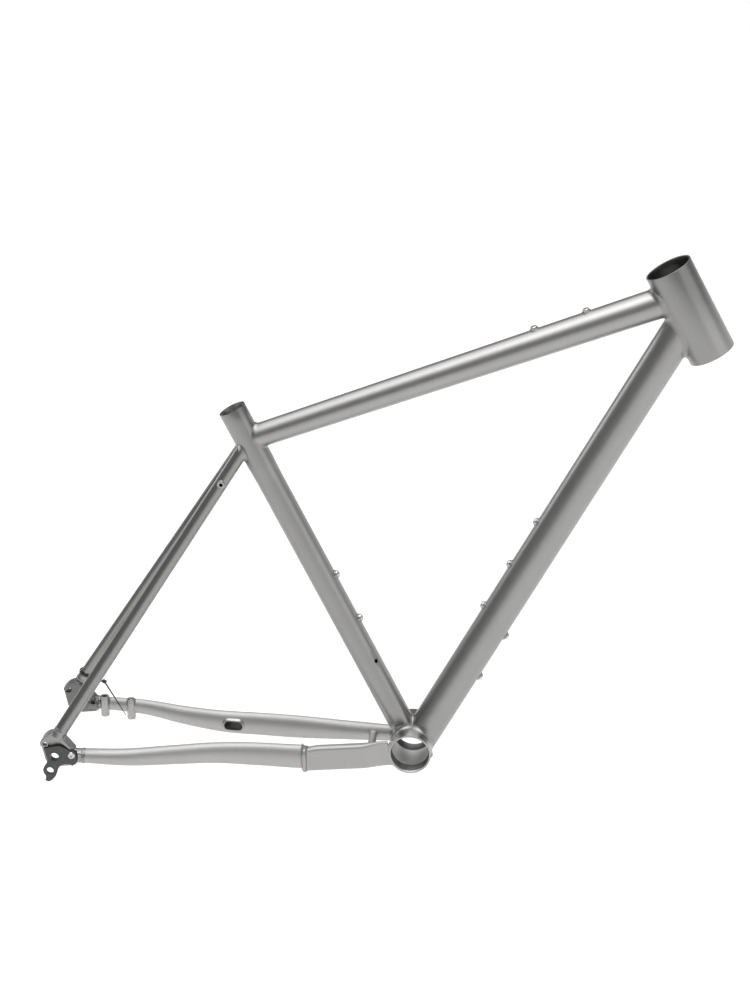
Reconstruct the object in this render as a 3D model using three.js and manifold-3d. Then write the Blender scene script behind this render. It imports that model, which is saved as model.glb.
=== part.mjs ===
// Titanium diamond frame for a 142 x 12 mm through-axle rear wheel, one mesh for each real piece.
// Millimetres. Origin at the centre of the bottom bracket shell, +X forward, +Y to the left, +Z up.
import * as THREE from 'three';
import Module from 'manifold-3d';

const wasm = await Module();
wasm.setup();

// ---- clearances and facet counts ----
const GAP = 0.3;                 // space kept between two pieces that touch
const OVERRUN = 2;               // how far a cutter runs past what it cuts
const MAIN_FACETS = 36;
const STAY_FACETS = 20;
const STAY_RINGS = 12;
const SMALL_FACETS = 12;
const RING_FACETS = 40;
const HOLE_FACETS = 24;
const TAPER = 1;                 // axial length of the taper into a relieved bore

// ---- frame geometry ----
const SEAT_ANGLE = 73.1;
const HEAD_ANGLE = 71.2;
const DOWN_ANGLE = 51.75;
const TOP_ANGLE = 11.3;
const AXLE = { x: -430, z: 72.5 };
const HUB_HALF = 71;             // half of the 142 mm hub

// ---- main tubes ----
const SEAT = { outer: 15.9, inner: 14.9, collar: 16.6, collarFrom: 385, collarFull: 415, top: 486.5 };
const SLEEVE = { outer: 14.6, inner: 13.6, length: 120, recess: 0.8 };
const VENT = { along: 121.5, turn: 48, radius: 2.6 };
const HEAD = { x: 390.5, z: 566.5, length: 116, outer: 28, seat: 26.05, seatDepth: 9, relief: 26.6 };
const DOWN = { outer: 21, wall: 1.2, below: 6.5, length: 690 };
const TOP = { along: 444.2, rear: 14.5, front: 18.2, length: 530, wall: 1.1 };
const SHELL = { outer: 26.2, bore: 23, relief: 23.9, reliefHalf: 19, half: 36.5, chamfer: 0.8, cut: 45.5 };

// ---- stays ----
const SEAT_STAY = {
  radius: 8.2, wall: 1, topX: -127.9, topY: 10, topZ: 425, lowX: -416.1, lowY: 72.2, lowZ: 104, clear: 11,
};
const CHAIN_WALL = 1.2;
const STAY_BENDS = [             // x, distance from the middle plane, z
  [-343, 67.5, 55.5], [-291, 53.5, 44.6], [-240, 42.3, 35.3], [-190, 39.8, 26.3], [-140, 39, 16.3],
];
const LEFT_FRONT = [[-83, 36.5, 6.2], [-18, 33, -4.5]];
const RIGHT_FRONT = [[-122, 38.6, 13.2]];
const CHAIN_LEFT = {
  start: [-402, 71, 68],
  halfWide: [6.4, 7, 8.7, 9, 9, 9, 9, 9],
  halfTall: [8.4, 10, 12.4, 14.6, 15.2, 15, 12.6, 10.2],
};
const CHAIN_RIGHT = {
  start: [-395.6, 71, 66],
  halfWide: [9, 9, 9, 9, 9, 9, 9],
  halfTall: [9.2, 11, 12.4, 13.6, 15.2, 15.8, 15.8],
};

// ---- drive side yoke ----
const YOKE = {
  rear: -126.6, inner: 31.5, outer: 43.5, splay: 0.03, topRear: 28, lowRear: -3, topFront: 19, lowFront: -12.4,
  splayFrom: -26, curlFrom: -28, noseX: -10, shoulder: 14, shoulderDrop: 3.6,
};
const END_PLATE = {
  x: -130, y: -39, middle: 11.4, thick: 5.6, half: 9.8, top: 28, low: -5.2, corner: 5, lean: 9.5,
};

// ---- bridges, ports and bosses ----
const CHAIN_BRIDGE = { x: -51, z: 1, outer: 4.9, inner: 3.9, left: 29.5, right: 31.9 };
const SEAT_BRIDGE = { down: 59.5, outer: 5, inner: 4 };
const PORT = { x: -226, length: 27, height: 15.6, rim: 1.8, proud: 1.6, rooted: 5 };
const BOSS = { body: 4.2, flange: 5.4, ring: 4.4, lift: 0.5, proud: 1.5, dish: 0.6, depth: 9, bore: 2.5 };
const SCREW = {
  shank: 2.2, length: 8, head: 4.1, side: 1.56, crown: 2.95, tall: 2.6, socket: 1.5, socketDeep: 1.6,
};
const BOSS_PITCH = 64;
const BOSSES = { seat: 178.5, top: 368, downUpper: 208, downLower: 122 };
const RACK_BOSS = { down: 59.5, outer: 4.6, bore: 2.1, proud: 1.4, deep: 5 };

// ---- dropouts, hanger and brake mounts ----
const DROPOUT = { thick: 7.5, skin: 3.8, hood: 16.5, axleBore: 6, eyelet: 2.6, counterbore: 4.3, sink: 3 };
const FOOT = { behind: 16, radius: 9.4, endRadius: 9 };
const SOCKET_LENGTH = 10;
const HUB_CAP = 15;
const HANGER = { thick: 4.6, axleHole: 5.5, mech: 4.5, bush: 8.7, recess: 0.7 };
const MECH = { x: -439.6, z: 54.6, radius: 8.6 };
const HANGER_BOLT = { shank: 2.3, length: 9, head: 4.6, side: 1.2, crown: 3.6, tall: 2.4, socket: 1.6, floor: 0.8 };
const EYELET_REAR = { x: -438.6, z: 91.3, radius: 6 };
const EYELET_FRONT = { x: -408.4, z: 72.5, radius: 6.4 };
// outlines in the X-Z plane; four numbers are the control point and the end of a curve
const HOOD_EDGE = {
  foot: [-404, 75.5], brow: [-413.5, 92.5], crown: [-418, 103.5, -428, 103], back: [-436, 102.5, -442.2, 96.1],
};
const PLATE_EDGE = {
  rear: [-443.6, 69], heel: [-441, 58, -428, 56.8], sole: [-413, 56], toe: [-406, 55.5, -403, 60],
};
const POCKET_EDGE = { rear: [-434, 94.5, -427, 94], front: [-419, 92.5, -413.5, 84], foot: [-409, 78.5] };
const FLANGE_EDGE = {
  back: [-439.4, 93.2], crown: [-434, 97.6, -428, 97.4], brow: [-420, 96.5, -416, 90], foot: [-409.5, 78.5],
};
const HANGER_EDGE = {
  heel: [-441, 86], waist: [-439.8, 71], neck: [-440, 66, -446, 60.5], stop: [-446.6, 45.4], claw: [-448.4, 42.4],
  clawLow: [-445.2, 39.8], chin: [-441, 40.8], jaw: [-434.5, 44.5, -431.8, 50], throat: [-428, 60.5, -419.4, 61.2],
  sole: [-412.7, 60], notch: [-410.4, 57.4], toe: [-406, 60], front: [-402.4, 68], brow: [-415, 84, -422, 87],
};
const BRAKE = {
  rearX: -394.2, y: 66, rearZ: 65.5, pitch: 34, lean: 9.4, outer: 5.6, bore: 2.8, above: [13.5, 10.2], below: [14, 17],
};

// ---- nylon tie ----
const TIE = {
  up: 10, toward: [0.84, -0.32, -0.46], reach: 24, wide: 2.6, thick: 1.1, slack: 1.4, turn: 78,
  head: 2.5, headLength: 5, tail: [19.5, -6, -48], tailRadius: 1.1, tailTip: 0.5,
};

const TITANIUM = { colour: 0x9a9a97, roughness: 0.42, metalness: 1 };
const MACHINED = { colour: 0xa6a6a2, roughness: 0.32, metalness: 1 };
const ANODISED = { colour: 0x55575a, roughness: 0.48, metalness: 0.9 };
const STEEL = { colour: 0xb8b8b8, roughness: 0.28, metalness: 1 };
const NYLON = { colour: 0x141414, roughness: 0.5, metalness: 0 };

const radians = THREE.MathUtils.degToRad;
const vec = (x, y, z) => new THREE.Vector3(x, y, z);
const along = (origin, direction, distance) => origin.clone().addScaledVector(direction, distance);
const leaning = (degrees) => vec(-Math.cos(radians(degrees)), 0, Math.sin(radians(degrees)));
const rising = (degrees) => vec(Math.cos(radians(degrees)), 0, Math.sin(radians(degrees)));

const ORIGIN = vec(0, 0, 0);
const Y_AXIS = vec(0, 1, 0);
const seatLine = leaning(SEAT_ANGLE);
const headLine = leaning(HEAD_ANGLE);
const downLine = rising(DOWN_ANGLE);
const topLine = rising(TOP_ANGLE);
const headTop = vec(HEAD.x, 0, HEAD.z);
const seatFront = vec(seatLine.z, 0, -seatLine.x);
const downUpper = vec(-downLine.z, 0, downLine.x);
const topUpper = vec(-topLine.z, 0, topLine.x);
const downStart = along(ORIGIN, downUpper, -DOWN.below);
const topStart = along(ORIGIN, seatLine, TOP.along);
const plateLine = vec(Math.cos(radians(END_PLATE.lean)), 0, -Math.sin(radians(END_PLATE.lean)));

// ---- turning three.js geometry into closed solids and back ----
function toSolid(geometry) {
  const source = geometry.index ? geometry.toNonIndexed() : geometry;
  const position = source.getAttribute('position');
  const lookup = new Map();
  const points = [];
  const corners = [];
  for (let i = 0; i < position.count; i += 1) {
    const p = [position.getX(i), position.getY(i), position.getZ(i)];
    const key = p.map((value) => Math.round(value * 1e4)).join(',');
    if (!lookup.has(key)) {
      lookup.set(key, points.length / 3);
      points.push(...p);
    }
    corners.push(lookup.get(key));
  }
  const triangles = [];
  for (let i = 0; i < corners.length; i += 3) {
    const [a, b, c] = corners.slice(i, i + 3);
    if (a !== b && b !== c && c !== a) triangles.push(a, b, c);
  }
  return new wasm.Manifold(new wasm.Mesh({
    numProp: 3,
    vertProperties: new Float32Array(points),
    triVerts: new Uint32Array(triangles),
  }));
}

function toMesh(name, solid, finish) {
  const data = solid.getMesh();
  const geometry = new THREE.BufferGeometry();
  geometry.setAttribute('position', new THREE.BufferAttribute(new Float32Array(data.vertProperties), 3));
  geometry.setIndex(new THREE.BufferAttribute(new Uint32Array(data.triVerts), 1));
  geometry.computeVertexNormals();
  const material = new THREE.MeshStandardMaterial({
    color: finish.colour,
    roughness: finish.roughness,
    metalness: finish.metalness,
  });
  const mesh = new THREE.Mesh(geometry, material);
  mesh.name = name;
  return mesh;
}

function place(geometry, from, direction) {
  geometry.applyQuaternion(new THREE.Quaternion().setFromUnitVectors(Y_AXIS, direction.clone().normalize()));
  geometry.translate(from.x, from.y, from.z);
  return toSolid(geometry);
}

// ---- basic solids ----
function rod(radius, from, to, facets = MAIN_FACETS, endRadius = radius) {
  const span = to.clone().sub(from);
  const geometry = new THREE.CylinderGeometry(endRadius, radius, span.length(), facets);
  geometry.translate(0, span.length() / 2, 0);
  return place(geometry, from, span);
}

function turned(profile, from, direction, facets = MAIN_FACETS) {
  const points = profile.map(([radius, height]) => new THREE.Vector2(radius, height));
  points.push(points[0].clone());
  return place(new THREE.LatheGeometry(points, facets), from, direction);
}

function plate(shape, lowY, highY) {
  const depth = highY - lowY;
  const geometry = new THREE.ExtrudeGeometry(shape, { depth, bevelEnabled: false, curveSegments: 8 });
  geometry.rotateX(Math.PI / 2);
  geometry.translate(0, highY, 0);
  return toSolid(geometry);
}

function loft(stations, grow, endRun = 0) {
  const rings = stations.length - 1;
  const geometry = new THREE.CylinderGeometry(1, 1, 1, STAY_FACETS, rings);
  const position = geometry.getAttribute('position');
  for (let i = 0; i < position.count; i += 1) {
    const step = Math.round((position.getY(i) + 0.5) * rings);
    const { centre, forward, halfWide, halfTall } = stations[step];
    const side = forward.clone().cross(vec(0, 0, 1)).normalize();
    const up = side.clone().cross(forward);
    const run = step === 0 ? -endRun : step === rings ? endRun : 0;
    const point = along(centre, forward, run);
    point.addScaledVector(side, (halfWide + grow) * position.getX(i));
    point.addScaledVector(up, (halfTall + grow) * position.getZ(i));
    position.setXYZ(i, point.x, point.y, point.z);
  }
  return toSolid(geometry);
}

const seatCutter = () => turned([
  [0, 0], [SEAT.outer + GAP, 0], [SEAT.outer + GAP, SEAT.collarFrom], [SEAT.collar + GAP, SEAT.collarFull],
  [SEAT.collar + GAP, SEAT.top], [0, SEAT.top],
], ORIGIN, seatLine);
const shellCutter = () => rod(SHELL.outer + GAP, vec(0, -SHELL.cut, 0), vec(0, SHELL.cut, 0));
const headCutter = () => rod(HEAD.outer + GAP, headTop, along(headTop, headLine, -HEAD.length));

// ---- bosses that stand through a tube wall ----
function bossSites() {
  const sites = [];
  const row = (label, origin, line, normal, radiusAt, first, count) => {
    for (let i = 0; i < count; i += 1) {
      const distance = first + i * BOSS_PITCH;
      const foot = along(along(origin, line, distance), normal, radiusAt(distance));
      sites.push({ name: `${label}_${i + 1}`, foot, normal });
    }
  };
  const topRadius = (distance) => TOP.rear + ((TOP.front - TOP.rear) * distance) / TOP.length;
  row('seat_tube_boss', ORIGIN, seatLine, seatFront, () => SEAT.outer, BOSSES.seat, 2);
  row('top_tube_boss', topStart, topLine, topUpper, topRadius, BOSSES.top, 2);
  row('down_tube_upper_boss', downStart, downLine, downUpper, () => DOWN.outer, BOSSES.downUpper, 3);
  const downLower = downUpper.clone().negate();
  row('down_tube_lower_boss', downStart, downLine, downLower, () => DOWN.outer, BOSSES.downLower, 2);
  return sites;
}

function boss({ foot, normal }) {
  const profile = [
    [BOSS.bore, -BOSS.depth], [BOSS.body, -BOSS.depth], [BOSS.body, BOSS.lift], [BOSS.flange, BOSS.lift],
    [BOSS.flange, BOSS.proud], [BOSS.ring, BOSS.proud], [BOSS.bore, BOSS.proud - BOSS.dish],
  ];
  return turned(profile, foot, normal, SMALL_FACETS);
}

function bossScrew({ foot, normal }) {
  const seat = BOSS.proud + GAP;
  const profile = [
    [0, seat - SCREW.length], [SCREW.shank, seat - SCREW.length], [SCREW.shank, seat],
    [SCREW.head, seat], [SCREW.head, seat + SCREW.side], [SCREW.crown, seat + SCREW.tall],
    [SCREW.socket, seat + SCREW.tall], [SCREW.socket, seat + SCREW.tall - SCREW.socketDeep],
    [0, seat + SCREW.tall - SCREW.socketDeep],
  ];
  return turned(profile, foot, normal, SMALL_FACETS);
}

function bossHoles(solid, prefix) {
  let result = solid;
  for (const { name, foot, normal } of bossSites()) {
    if (!name.startsWith(prefix)) continue;
    const from = along(foot, normal, -BOSS.depth - OVERRUN);
    result = result.subtract(rod(BOSS.body + GAP, from, along(foot, normal, OVERRUN), SMALL_FACETS));
  }
  return result;
}

// ---- main triangle ----
function headTube() {
  const low = -HEAD.length;
  const profile = [
    [HEAD.seat, 0], [HEAD.outer, 0], [HEAD.outer, low], [HEAD.seat, low],
    [HEAD.seat, low + HEAD.seatDepth], [HEAD.relief, low + HEAD.seatDepth + TAPER],
    [HEAD.relief, -HEAD.seatDepth - TAPER], [HEAD.seat, -HEAD.seatDepth],
  ];
  return turned(profile.reverse(), headTop, headLine, RING_FACETS);
}

function bottomBracketShell() {
  const { outer, bore, relief, reliefHalf, half, chamfer } = SHELL;
  const profile = [
    [bore + chamfer, -half], [outer - chamfer / 2, -half], [outer, chamfer / 2 - half],
    [outer, half - chamfer / 2], [outer - chamfer / 2, half], [bore + chamfer, half],
    [bore, half - chamfer], [bore, reliefHalf + TAPER], [relief, reliefHalf],
    [relief, -reliefHalf], [bore, -reliefHalf - TAPER], [bore, chamfer - half],
  ];
  return turned(profile, ORIGIN, Y_AXIS, RING_FACETS);
}

function seatTube() {
  const { outer, inner, collar, collarFrom, collarFull, top } = SEAT;
  const profile = [
    [inner, 0], [outer, 0], [outer, collarFrom], [collar, collarFull], [collar, top], [inner, top],
  ];
  const tube = turned(profile, ORIGIN, seatLine).subtract(shellCutter());
  const ventCentre = along(ORIGIN, seatLine, VENT.along);
  const turn = radians(VENT.turn);
  const outward = seatFront.clone().multiplyScalar(Math.sin(turn)).addScaledVector(Y_AXIS, -Math.cos(turn));
  const vent = rod(VENT.radius, ventCentre, along(ventCentre, outward, SEAT.outer + OVERRUN), SMALL_FACETS);
  return bossHoles(tube.subtract(vent), 'seat_tube_boss');
}

function seatpostSleeve() {
  const top = SEAT.top - SLEEVE.recess;
  const profile = [
    [SLEEVE.inner, top - SLEEVE.length], [SLEEVE.outer, top - SLEEVE.length],
    [SLEEVE.outer, top], [SLEEVE.inner, top],
  ];
  return turned(profile, ORIGIN, seatLine);
}

function downTube() {
  const end = along(downStart, downLine, DOWN.length);
  const outside = rod(DOWN.outer, downStart, end);
  const inside = rod(DOWN.outer - DOWN.wall, along(downStart, downLine, -OVERRUN), along(end, downLine, OVERRUN));
  const tube = outside.subtract(inside).subtract(shellCutter()).subtract(seatCutter()).subtract(headCutter());
  return bossHoles(beyondHead(tube), 'down_tube');
}

function topTube() {
  const end = along(topStart, topLine, TOP.length);
  const outside = rod(TOP.rear, topStart, end, MAIN_FACETS, TOP.front);
  const inside = rod(
    TOP.rear - TOP.wall, along(topStart, topLine, -OVERRUN), along(end, topLine, OVERRUN),
    MAIN_FACETS, TOP.front - TOP.wall,
  );
  const down = rod(DOWN.outer + GAP, downStart, along(downStart, downLine, DOWN.length));
  const tube = outside.subtract(inside).subtract(seatCutter()).subtract(headCutter()).subtract(down);
  return bossHoles(aheadOfSeat(beyondHead(tube)), 'top_tube_boss');
}

// keeps what lies behind the head tube axis
function beyondHead(solid) {
  return solid.trimByPlane([-headLine.z, 0, headLine.x], -headTop.dot(vec(headLine.z, 0, -headLine.x)));
}

// keeps what lies ahead of the seat tube axis
function aheadOfSeat(solid) {
  return solid.trimByPlane([seatFront.x, 0, seatFront.z], 0);
}

// keeps what lies behind the plane through a point, square to a direction
function behind(solid, point, direction) {
  return solid.trimByPlane(direction.clone().negate().toArray(), -direction.dot(point));
}

// ---- rear triangle ----
function seatStayEnds(sign) {
  const low = vec(SEAT_STAY.lowX, sign * SEAT_STAY.lowY, SEAT_STAY.lowZ);
  const top = vec(SEAT_STAY.topX, sign * SEAT_STAY.topY, SEAT_STAY.topZ);
  return { low, top };
}

function seatStayPoint(sign, down) {
  const { low, top } = seatStayEnds(sign);
  return along(top, low.clone().sub(top).normalize(), down);
}

function seatStay(sign) {
  const { low, top } = seatStayEnds(sign);
  const line = top.clone().sub(low).normalize();
  const outside = rod(SEAT_STAY.radius, low, top, STAY_FACETS);
  const hollow = SEAT_STAY.radius - SEAT_STAY.wall;
  const inside = rod(hollow, along(low, line, -OVERRUN), along(top, line, OVERRUN), STAY_FACETS);
  const spot = seatStayPoint(sign, RACK_BOSS.down);
  const side = along(spot, Y_AXIS, sign * 2 * SEAT_STAY.radius);
  const bossHole = rod(RACK_BOSS.outer + GAP, spot, side, SMALL_FACETS);
  const tube = outside.subtract(inside).subtract(seatCutter()).subtract(bossHole);
  return behind(tube, along(ORIGIN, seatFront, -SEAT_STAY.clear), seatFront);
}

function seatStayBridge() {
  const left = seatStayPoint(1, SEAT_BRIDGE.down);
  const right = seatStayPoint(-1, SEAT_BRIDGE.down);
  const tube = rod(SEAT_BRIDGE.outer, right, left, SMALL_FACETS)
    .subtract(rod(SEAT_BRIDGE.inner, along(right, Y_AXIS, -OVERRUN), along(left, Y_AXIS, OVERRUN), SMALL_FACETS));
  return [1, -1].reduce((solid, sign) => {
    const { low, top } = seatStayEnds(sign);
    return solid.subtract(rod(SEAT_STAY.radius + GAP, low, top, STAY_FACETS));
  }, tube);
}

function rackBoss(sign) {
  const spot = seatStayPoint(sign, RACK_BOSS.down);
  const outward = vec(0, sign, 0);
  const profile = [
    [RACK_BOSS.bore, SEAT_STAY.radius - RACK_BOSS.deep], [RACK_BOSS.outer, SEAT_STAY.radius - RACK_BOSS.deep],
    [RACK_BOSS.outer, SEAT_STAY.radius + RACK_BOSS.proud], [RACK_BOSS.bore, SEAT_STAY.radius + RACK_BOSS.proud],
  ];
  return turned(profile, spot, outward, SMALL_FACETS);
}

function chainStations(sign, settings, front) {
  const points = [settings.start, ...STAY_BENDS, ...front].map(([x, y, z]) => vec(x, sign * y, z));
  const curve = new THREE.CatmullRomCurve3(points, false, 'centripetal');
  const half = new THREE.SplineCurve(settings.halfTall.map((tall, i) => new THREE.Vector2(settings.halfWide[i], tall)));
  const stations = [];
  for (let i = 0; i <= STAY_RINGS; i += 1) {
    const t = i / STAY_RINGS;
    stations.push({
      centre: curve.getPoint(t),
      forward: curve.getTangent(t).normalize(),
      halfWide: half.getPoint(t).x,
      halfTall: half.getPoint(t).y,
    });
  }
  return stations;
}

function chainStay(sign, settings, front) {
  const stations = chainStations(sign, settings, front);
  return loft(stations, 0).subtract(loft(stations, -CHAIN_WALL, OVERRUN));
}

function chainStayLeft() {
  let stay = chainStay(1, CHAIN_LEFT, LEFT_FRONT).subtract(shellCutter());
  for (const { low, high, axis } of brakePosts()) {
    const hole = rod(BRAKE.outer + GAP, along(low, axis, -OVERRUN), along(high, axis, 3 * OVERRUN), STAY_FACETS);
    stay = stay.subtract(hole);
  }
  return stay.subtract(portSolid(PORT.rim + GAP)).subtract(chainBridgeCutter());
}

function chainStayRight() {
  return behind(chainStay(-1, CHAIN_RIGHT, RIGHT_FRONT), plateFace(-1), plateLine);
}

function plateFace(side) {
  return along(vec(END_PLATE.x, END_PLATE.y, END_PLATE.middle), plateLine, side * (END_PLATE.thick / 2 + GAP));
}

function yoke() {
  const { rear, topRear, lowRear, topFront, lowFront, curlFrom, noseX, shoulder, shoulderDrop } = YOKE;
  const shape = new THREE.Shape();
  shape.moveTo(rear - END_PLATE.thick, lowRear);
  shape.lineTo(curlFrom, lowFront);
  shape.quadraticCurveTo((curlFrom + noseX) / 2, lowFront - 1.6, noseX, lowFront - 8);
  shape.lineTo(0, 0);
  shape.lineTo(noseX, topFront);
  shape.lineTo(rear + shoulder, topRear);
  shape.lineTo(rear, topRear - shoulderDrop);
  const geometry = new THREE.ExtrudeGeometry(shape, { depth: YOKE.outer - YOKE.inner, bevelEnabled: false });
  geometry.rotateX(Math.PI / 2);
  geometry.translate(0, -YOKE.inner, 0);
  const position = geometry.getAttribute('position');
  for (let i = 0; i < position.count; i += 1) {
    position.setY(i, position.getY(i) + YOKE.splay * (position.getX(i) - YOKE.splayFrom));
  }
  const ahead = behind(toSolid(geometry), plateFace(1), plateLine.clone().negate());
  return ahead.subtract(shellCutter()).subtract(chainBridgeCutter());
}

function yokeEndPlate() {
  const { half, top, low, corner, thick } = END_PLATE;
  const shape = new THREE.Shape();
  shape.moveTo(-half + corner, low);
  shape.absarc(half - corner, low + corner, corner, -Math.PI / 2, 0);
  shape.absarc(half - corner, top - corner, corner, 0, Math.PI / 2);
  shape.absarc(-half + corner, top - corner, corner, Math.PI / 2, Math.PI);
  shape.absarc(-half + corner, low + corner, corner, Math.PI, 1.5 * Math.PI);
  const geometry = new THREE.ExtrudeGeometry(shape, { depth: thick, bevelEnabled: false, curveSegments: 6 });
  geometry.rotateX(Math.PI / 2);
  geometry.rotateZ(Math.PI / 2);
  geometry.translate(-thick / 2, 0, -END_PLATE.middle);
  geometry.rotateY(radians(END_PLATE.lean));
  geometry.translate(END_PLATE.x, END_PLATE.y, END_PLATE.middle);
  return toSolid(geometry);
}

function chainBridgeCutter() {
  const { x, z, outer, left, right } = CHAIN_BRIDGE;
  return rod(outer + GAP, vec(x, -right - GAP, z), vec(x, left + GAP, z), SMALL_FACETS);
}

function chainStayBridge() {
  const { x, z, outer, inner } = CHAIN_BRIDGE;
  const left = vec(x, CHAIN_BRIDGE.left, z);
  const right = vec(x, -CHAIN_BRIDGE.right, z);
  return rod(outer, right, left, SMALL_FACETS)
    .subtract(rod(inner, along(right, Y_AXIS, -OVERRUN), along(left, Y_AXIS, OVERRUN), SMALL_FACETS));
}

// ---- hose port on the inner side of the left chain stay ----
function stayAt(x) {
  const stations = chainStations(1, CHAIN_LEFT, LEFT_FRONT);
  const next = stations.findIndex((item) => item.centre.x > x);
  const before = stations[next - 1];
  const after = stations[next];
  const share = (x - before.centre.x) / (after.centre.x - before.centre.x);
  return {
    centre: before.centre.clone().lerp(after.centre, share),
    forward: before.forward.clone().lerp(after.forward, share).normalize(),
    halfWide: before.halfWide,
  };
}

function portSolid(grow) {
  const { centre, forward, halfWide } = stayAt(PORT.x);
  const reach = (PORT.length - PORT.height) / 2;
  const radius = PORT.height / 2 - PORT.rim + grow;
  const shape = new THREE.Shape();
  shape.moveTo(-reach, -radius);
  shape.absarc(reach, 0, radius, -Math.PI / 2, Math.PI / 2);
  shape.absarc(-reach, 0, radius, Math.PI / 2, 1.5 * Math.PI);
  const inward = vec(forward.y, -forward.x, 0).normalize();
  const depth = PORT.proud + PORT.rooted;
  const geometry = new THREE.ExtrudeGeometry(shape, { depth, bevelEnabled: false, curveSegments: 8 });
  const frame = new THREE.Matrix4().makeBasis(forward.clone(), forward.clone().cross(inward).negate(), inward);
  geometry.applyMatrix4(frame);
  const seat = along(centre, inward, halfWide + PORT.proud - depth);
  geometry.translate(seat.x, seat.y, seat.z);
  return toSolid(geometry);
}

function hosePortRing() {
  return portSolid(PORT.rim).subtract(longPort());
}

// the port's opening, run past both ends of its ring
function longPort() {
  const { forward } = stayAt(PORT.x);
  const core = portSolid(0);
  const shift = vec(forward.y, -forward.x, 0).setLength(2 * OVERRUN);
  return core.add(core.translate(shift.toArray())).add(core.translate(shift.negate().toArray()));
}

// ---- rear ends ----
function hoodTop() {
  const shape = new THREE.Shape();
  shape.moveTo(...HOOD_EDGE.foot);
  shape.lineTo(...HOOD_EDGE.brow);
  shape.quadraticCurveTo(...HOOD_EDGE.crown);
  shape.quadraticCurveTo(...HOOD_EDGE.back);
  return shape;
}

function addRearEyelet(shape, lastAngle) {
  const { x, z, radius } = EYELET_REAR;
  shape.absarc(x, z, radius, radians(127), radians(lastAngle));
}

function dropoutOutline() {
  const shape = hoodTop();
  addRearEyelet(shape, 200);
  shape.lineTo(...PLATE_EDGE.rear);
  shape.quadraticCurveTo(...PLATE_EDGE.heel);
  shape.lineTo(...PLATE_EDGE.sole);
  shape.quadraticCurveTo(...PLATE_EDGE.toe);
  return shape;
}

function hoodOutline() {
  const shape = hoodTop();
  addRearEyelet(shape, 300);
  shape.quadraticCurveTo(...POCKET_EDGE.rear);
  shape.quadraticCurveTo(...POCKET_EDGE.front);
  shape.lineTo(...POCKET_EDGE.foot);
  return shape;
}

function flangeOutline() {
  const shape = hoodTop();
  shape.lineTo(...FLANGE_EDGE.back);
  shape.quadraticCurveTo(...FLANGE_EDGE.crown);
  shape.quadraticCurveTo(...FLANGE_EDGE.brow);
  shape.lineTo(...FLANGE_EDGE.foot);
  return shape;
}

function sideHole(x, z, radius, facets = SMALL_FACETS) {
  return rod(radius, vec(x, -HUB_HALF - 30, z), vec(x, HUB_HALF + 30, z), facets);
}

function chainStart(sign) {
  const settings = sign > 0 ? CHAIN_LEFT : CHAIN_RIGHT;
  return chainStations(sign, settings, sign > 0 ? LEFT_FRONT : RIGHT_FRONT)[0];
}

function dropout(sign) {
  const left = sign > 0;
  const outerFace = HUB_HALF + DROPOUT.thick;
  const band = (near, far) => (left ? [near, far] : [-far, -near]);
  const body = plate(dropoutOutline(), ...band(HUB_HALF, HUB_HALF + (left ? DROPOUT.thick : DROPOUT.skin)));
  const hood = plate(hoodOutline(), ...band(HUB_HALF, outerFace));
  const flange = plate(flangeOutline(), ...band(outerFace - DROPOUT.hood, HUB_HALF + GAP));
  const start = chainStart(sign);
  const root = along(start.centre, start.forward, -FOOT.behind);
  const tip = along(start.centre, start.forward, -GAP);
  const foot = rod(FOOT.radius, root, tip, STAY_FACETS, FOOT.endRadius).trimByPlane([0, -sign, 0], -outerFace);
  const { low, top } = seatStayEnds(sign);
  const stayLine = top.clone().sub(low).normalize();
  const stayEnd = along(low, stayLine, -GAP);
  const socket = rod(SEAT_STAY.radius, along(low, stayLine, -SOCKET_LENGTH), stayEnd, STAY_FACETS);
  const hubSpace = rod(HUB_CAP, vec(AXLE.x, 0, AXLE.z), vec(AXLE.x, sign * HUB_HALF, AXLE.z));
  let solid = body.add(hood).add(flange).add(foot).add(socket).subtract(hubSpace);
  solid = behind(behind(solid, tip, start.forward), stayEnd, stayLine)
    .subtract(sideHole(EYELET_REAR.x, EYELET_REAR.z, DROPOUT.eyelet))
    .subtract(sideHole(EYELET_FRONT.x, EYELET_FRONT.z, DROPOUT.eyelet))
    .subtract(sideHole(AXLE.x, AXLE.z, left ? DROPOUT.axleBore : HANGER.bush + GAP, HOLE_FACETS));
  if (left) {
    const spot = vec(EYELET_REAR.x, HUB_HALF - OVERRUN, EYELET_REAR.z);
    const sunk = along(spot, Y_AXIS, DROPOUT.sink + OVERRUN);
    return solid.subtract(rod(DROPOUT.counterbore, spot, sunk, SMALL_FACETS));
  }
  return solid.subtract(plate(hangerOutline(HANGER.recess), -outerFace - OVERRUN, -HUB_HALF - DROPOUT.skin));
}

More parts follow.
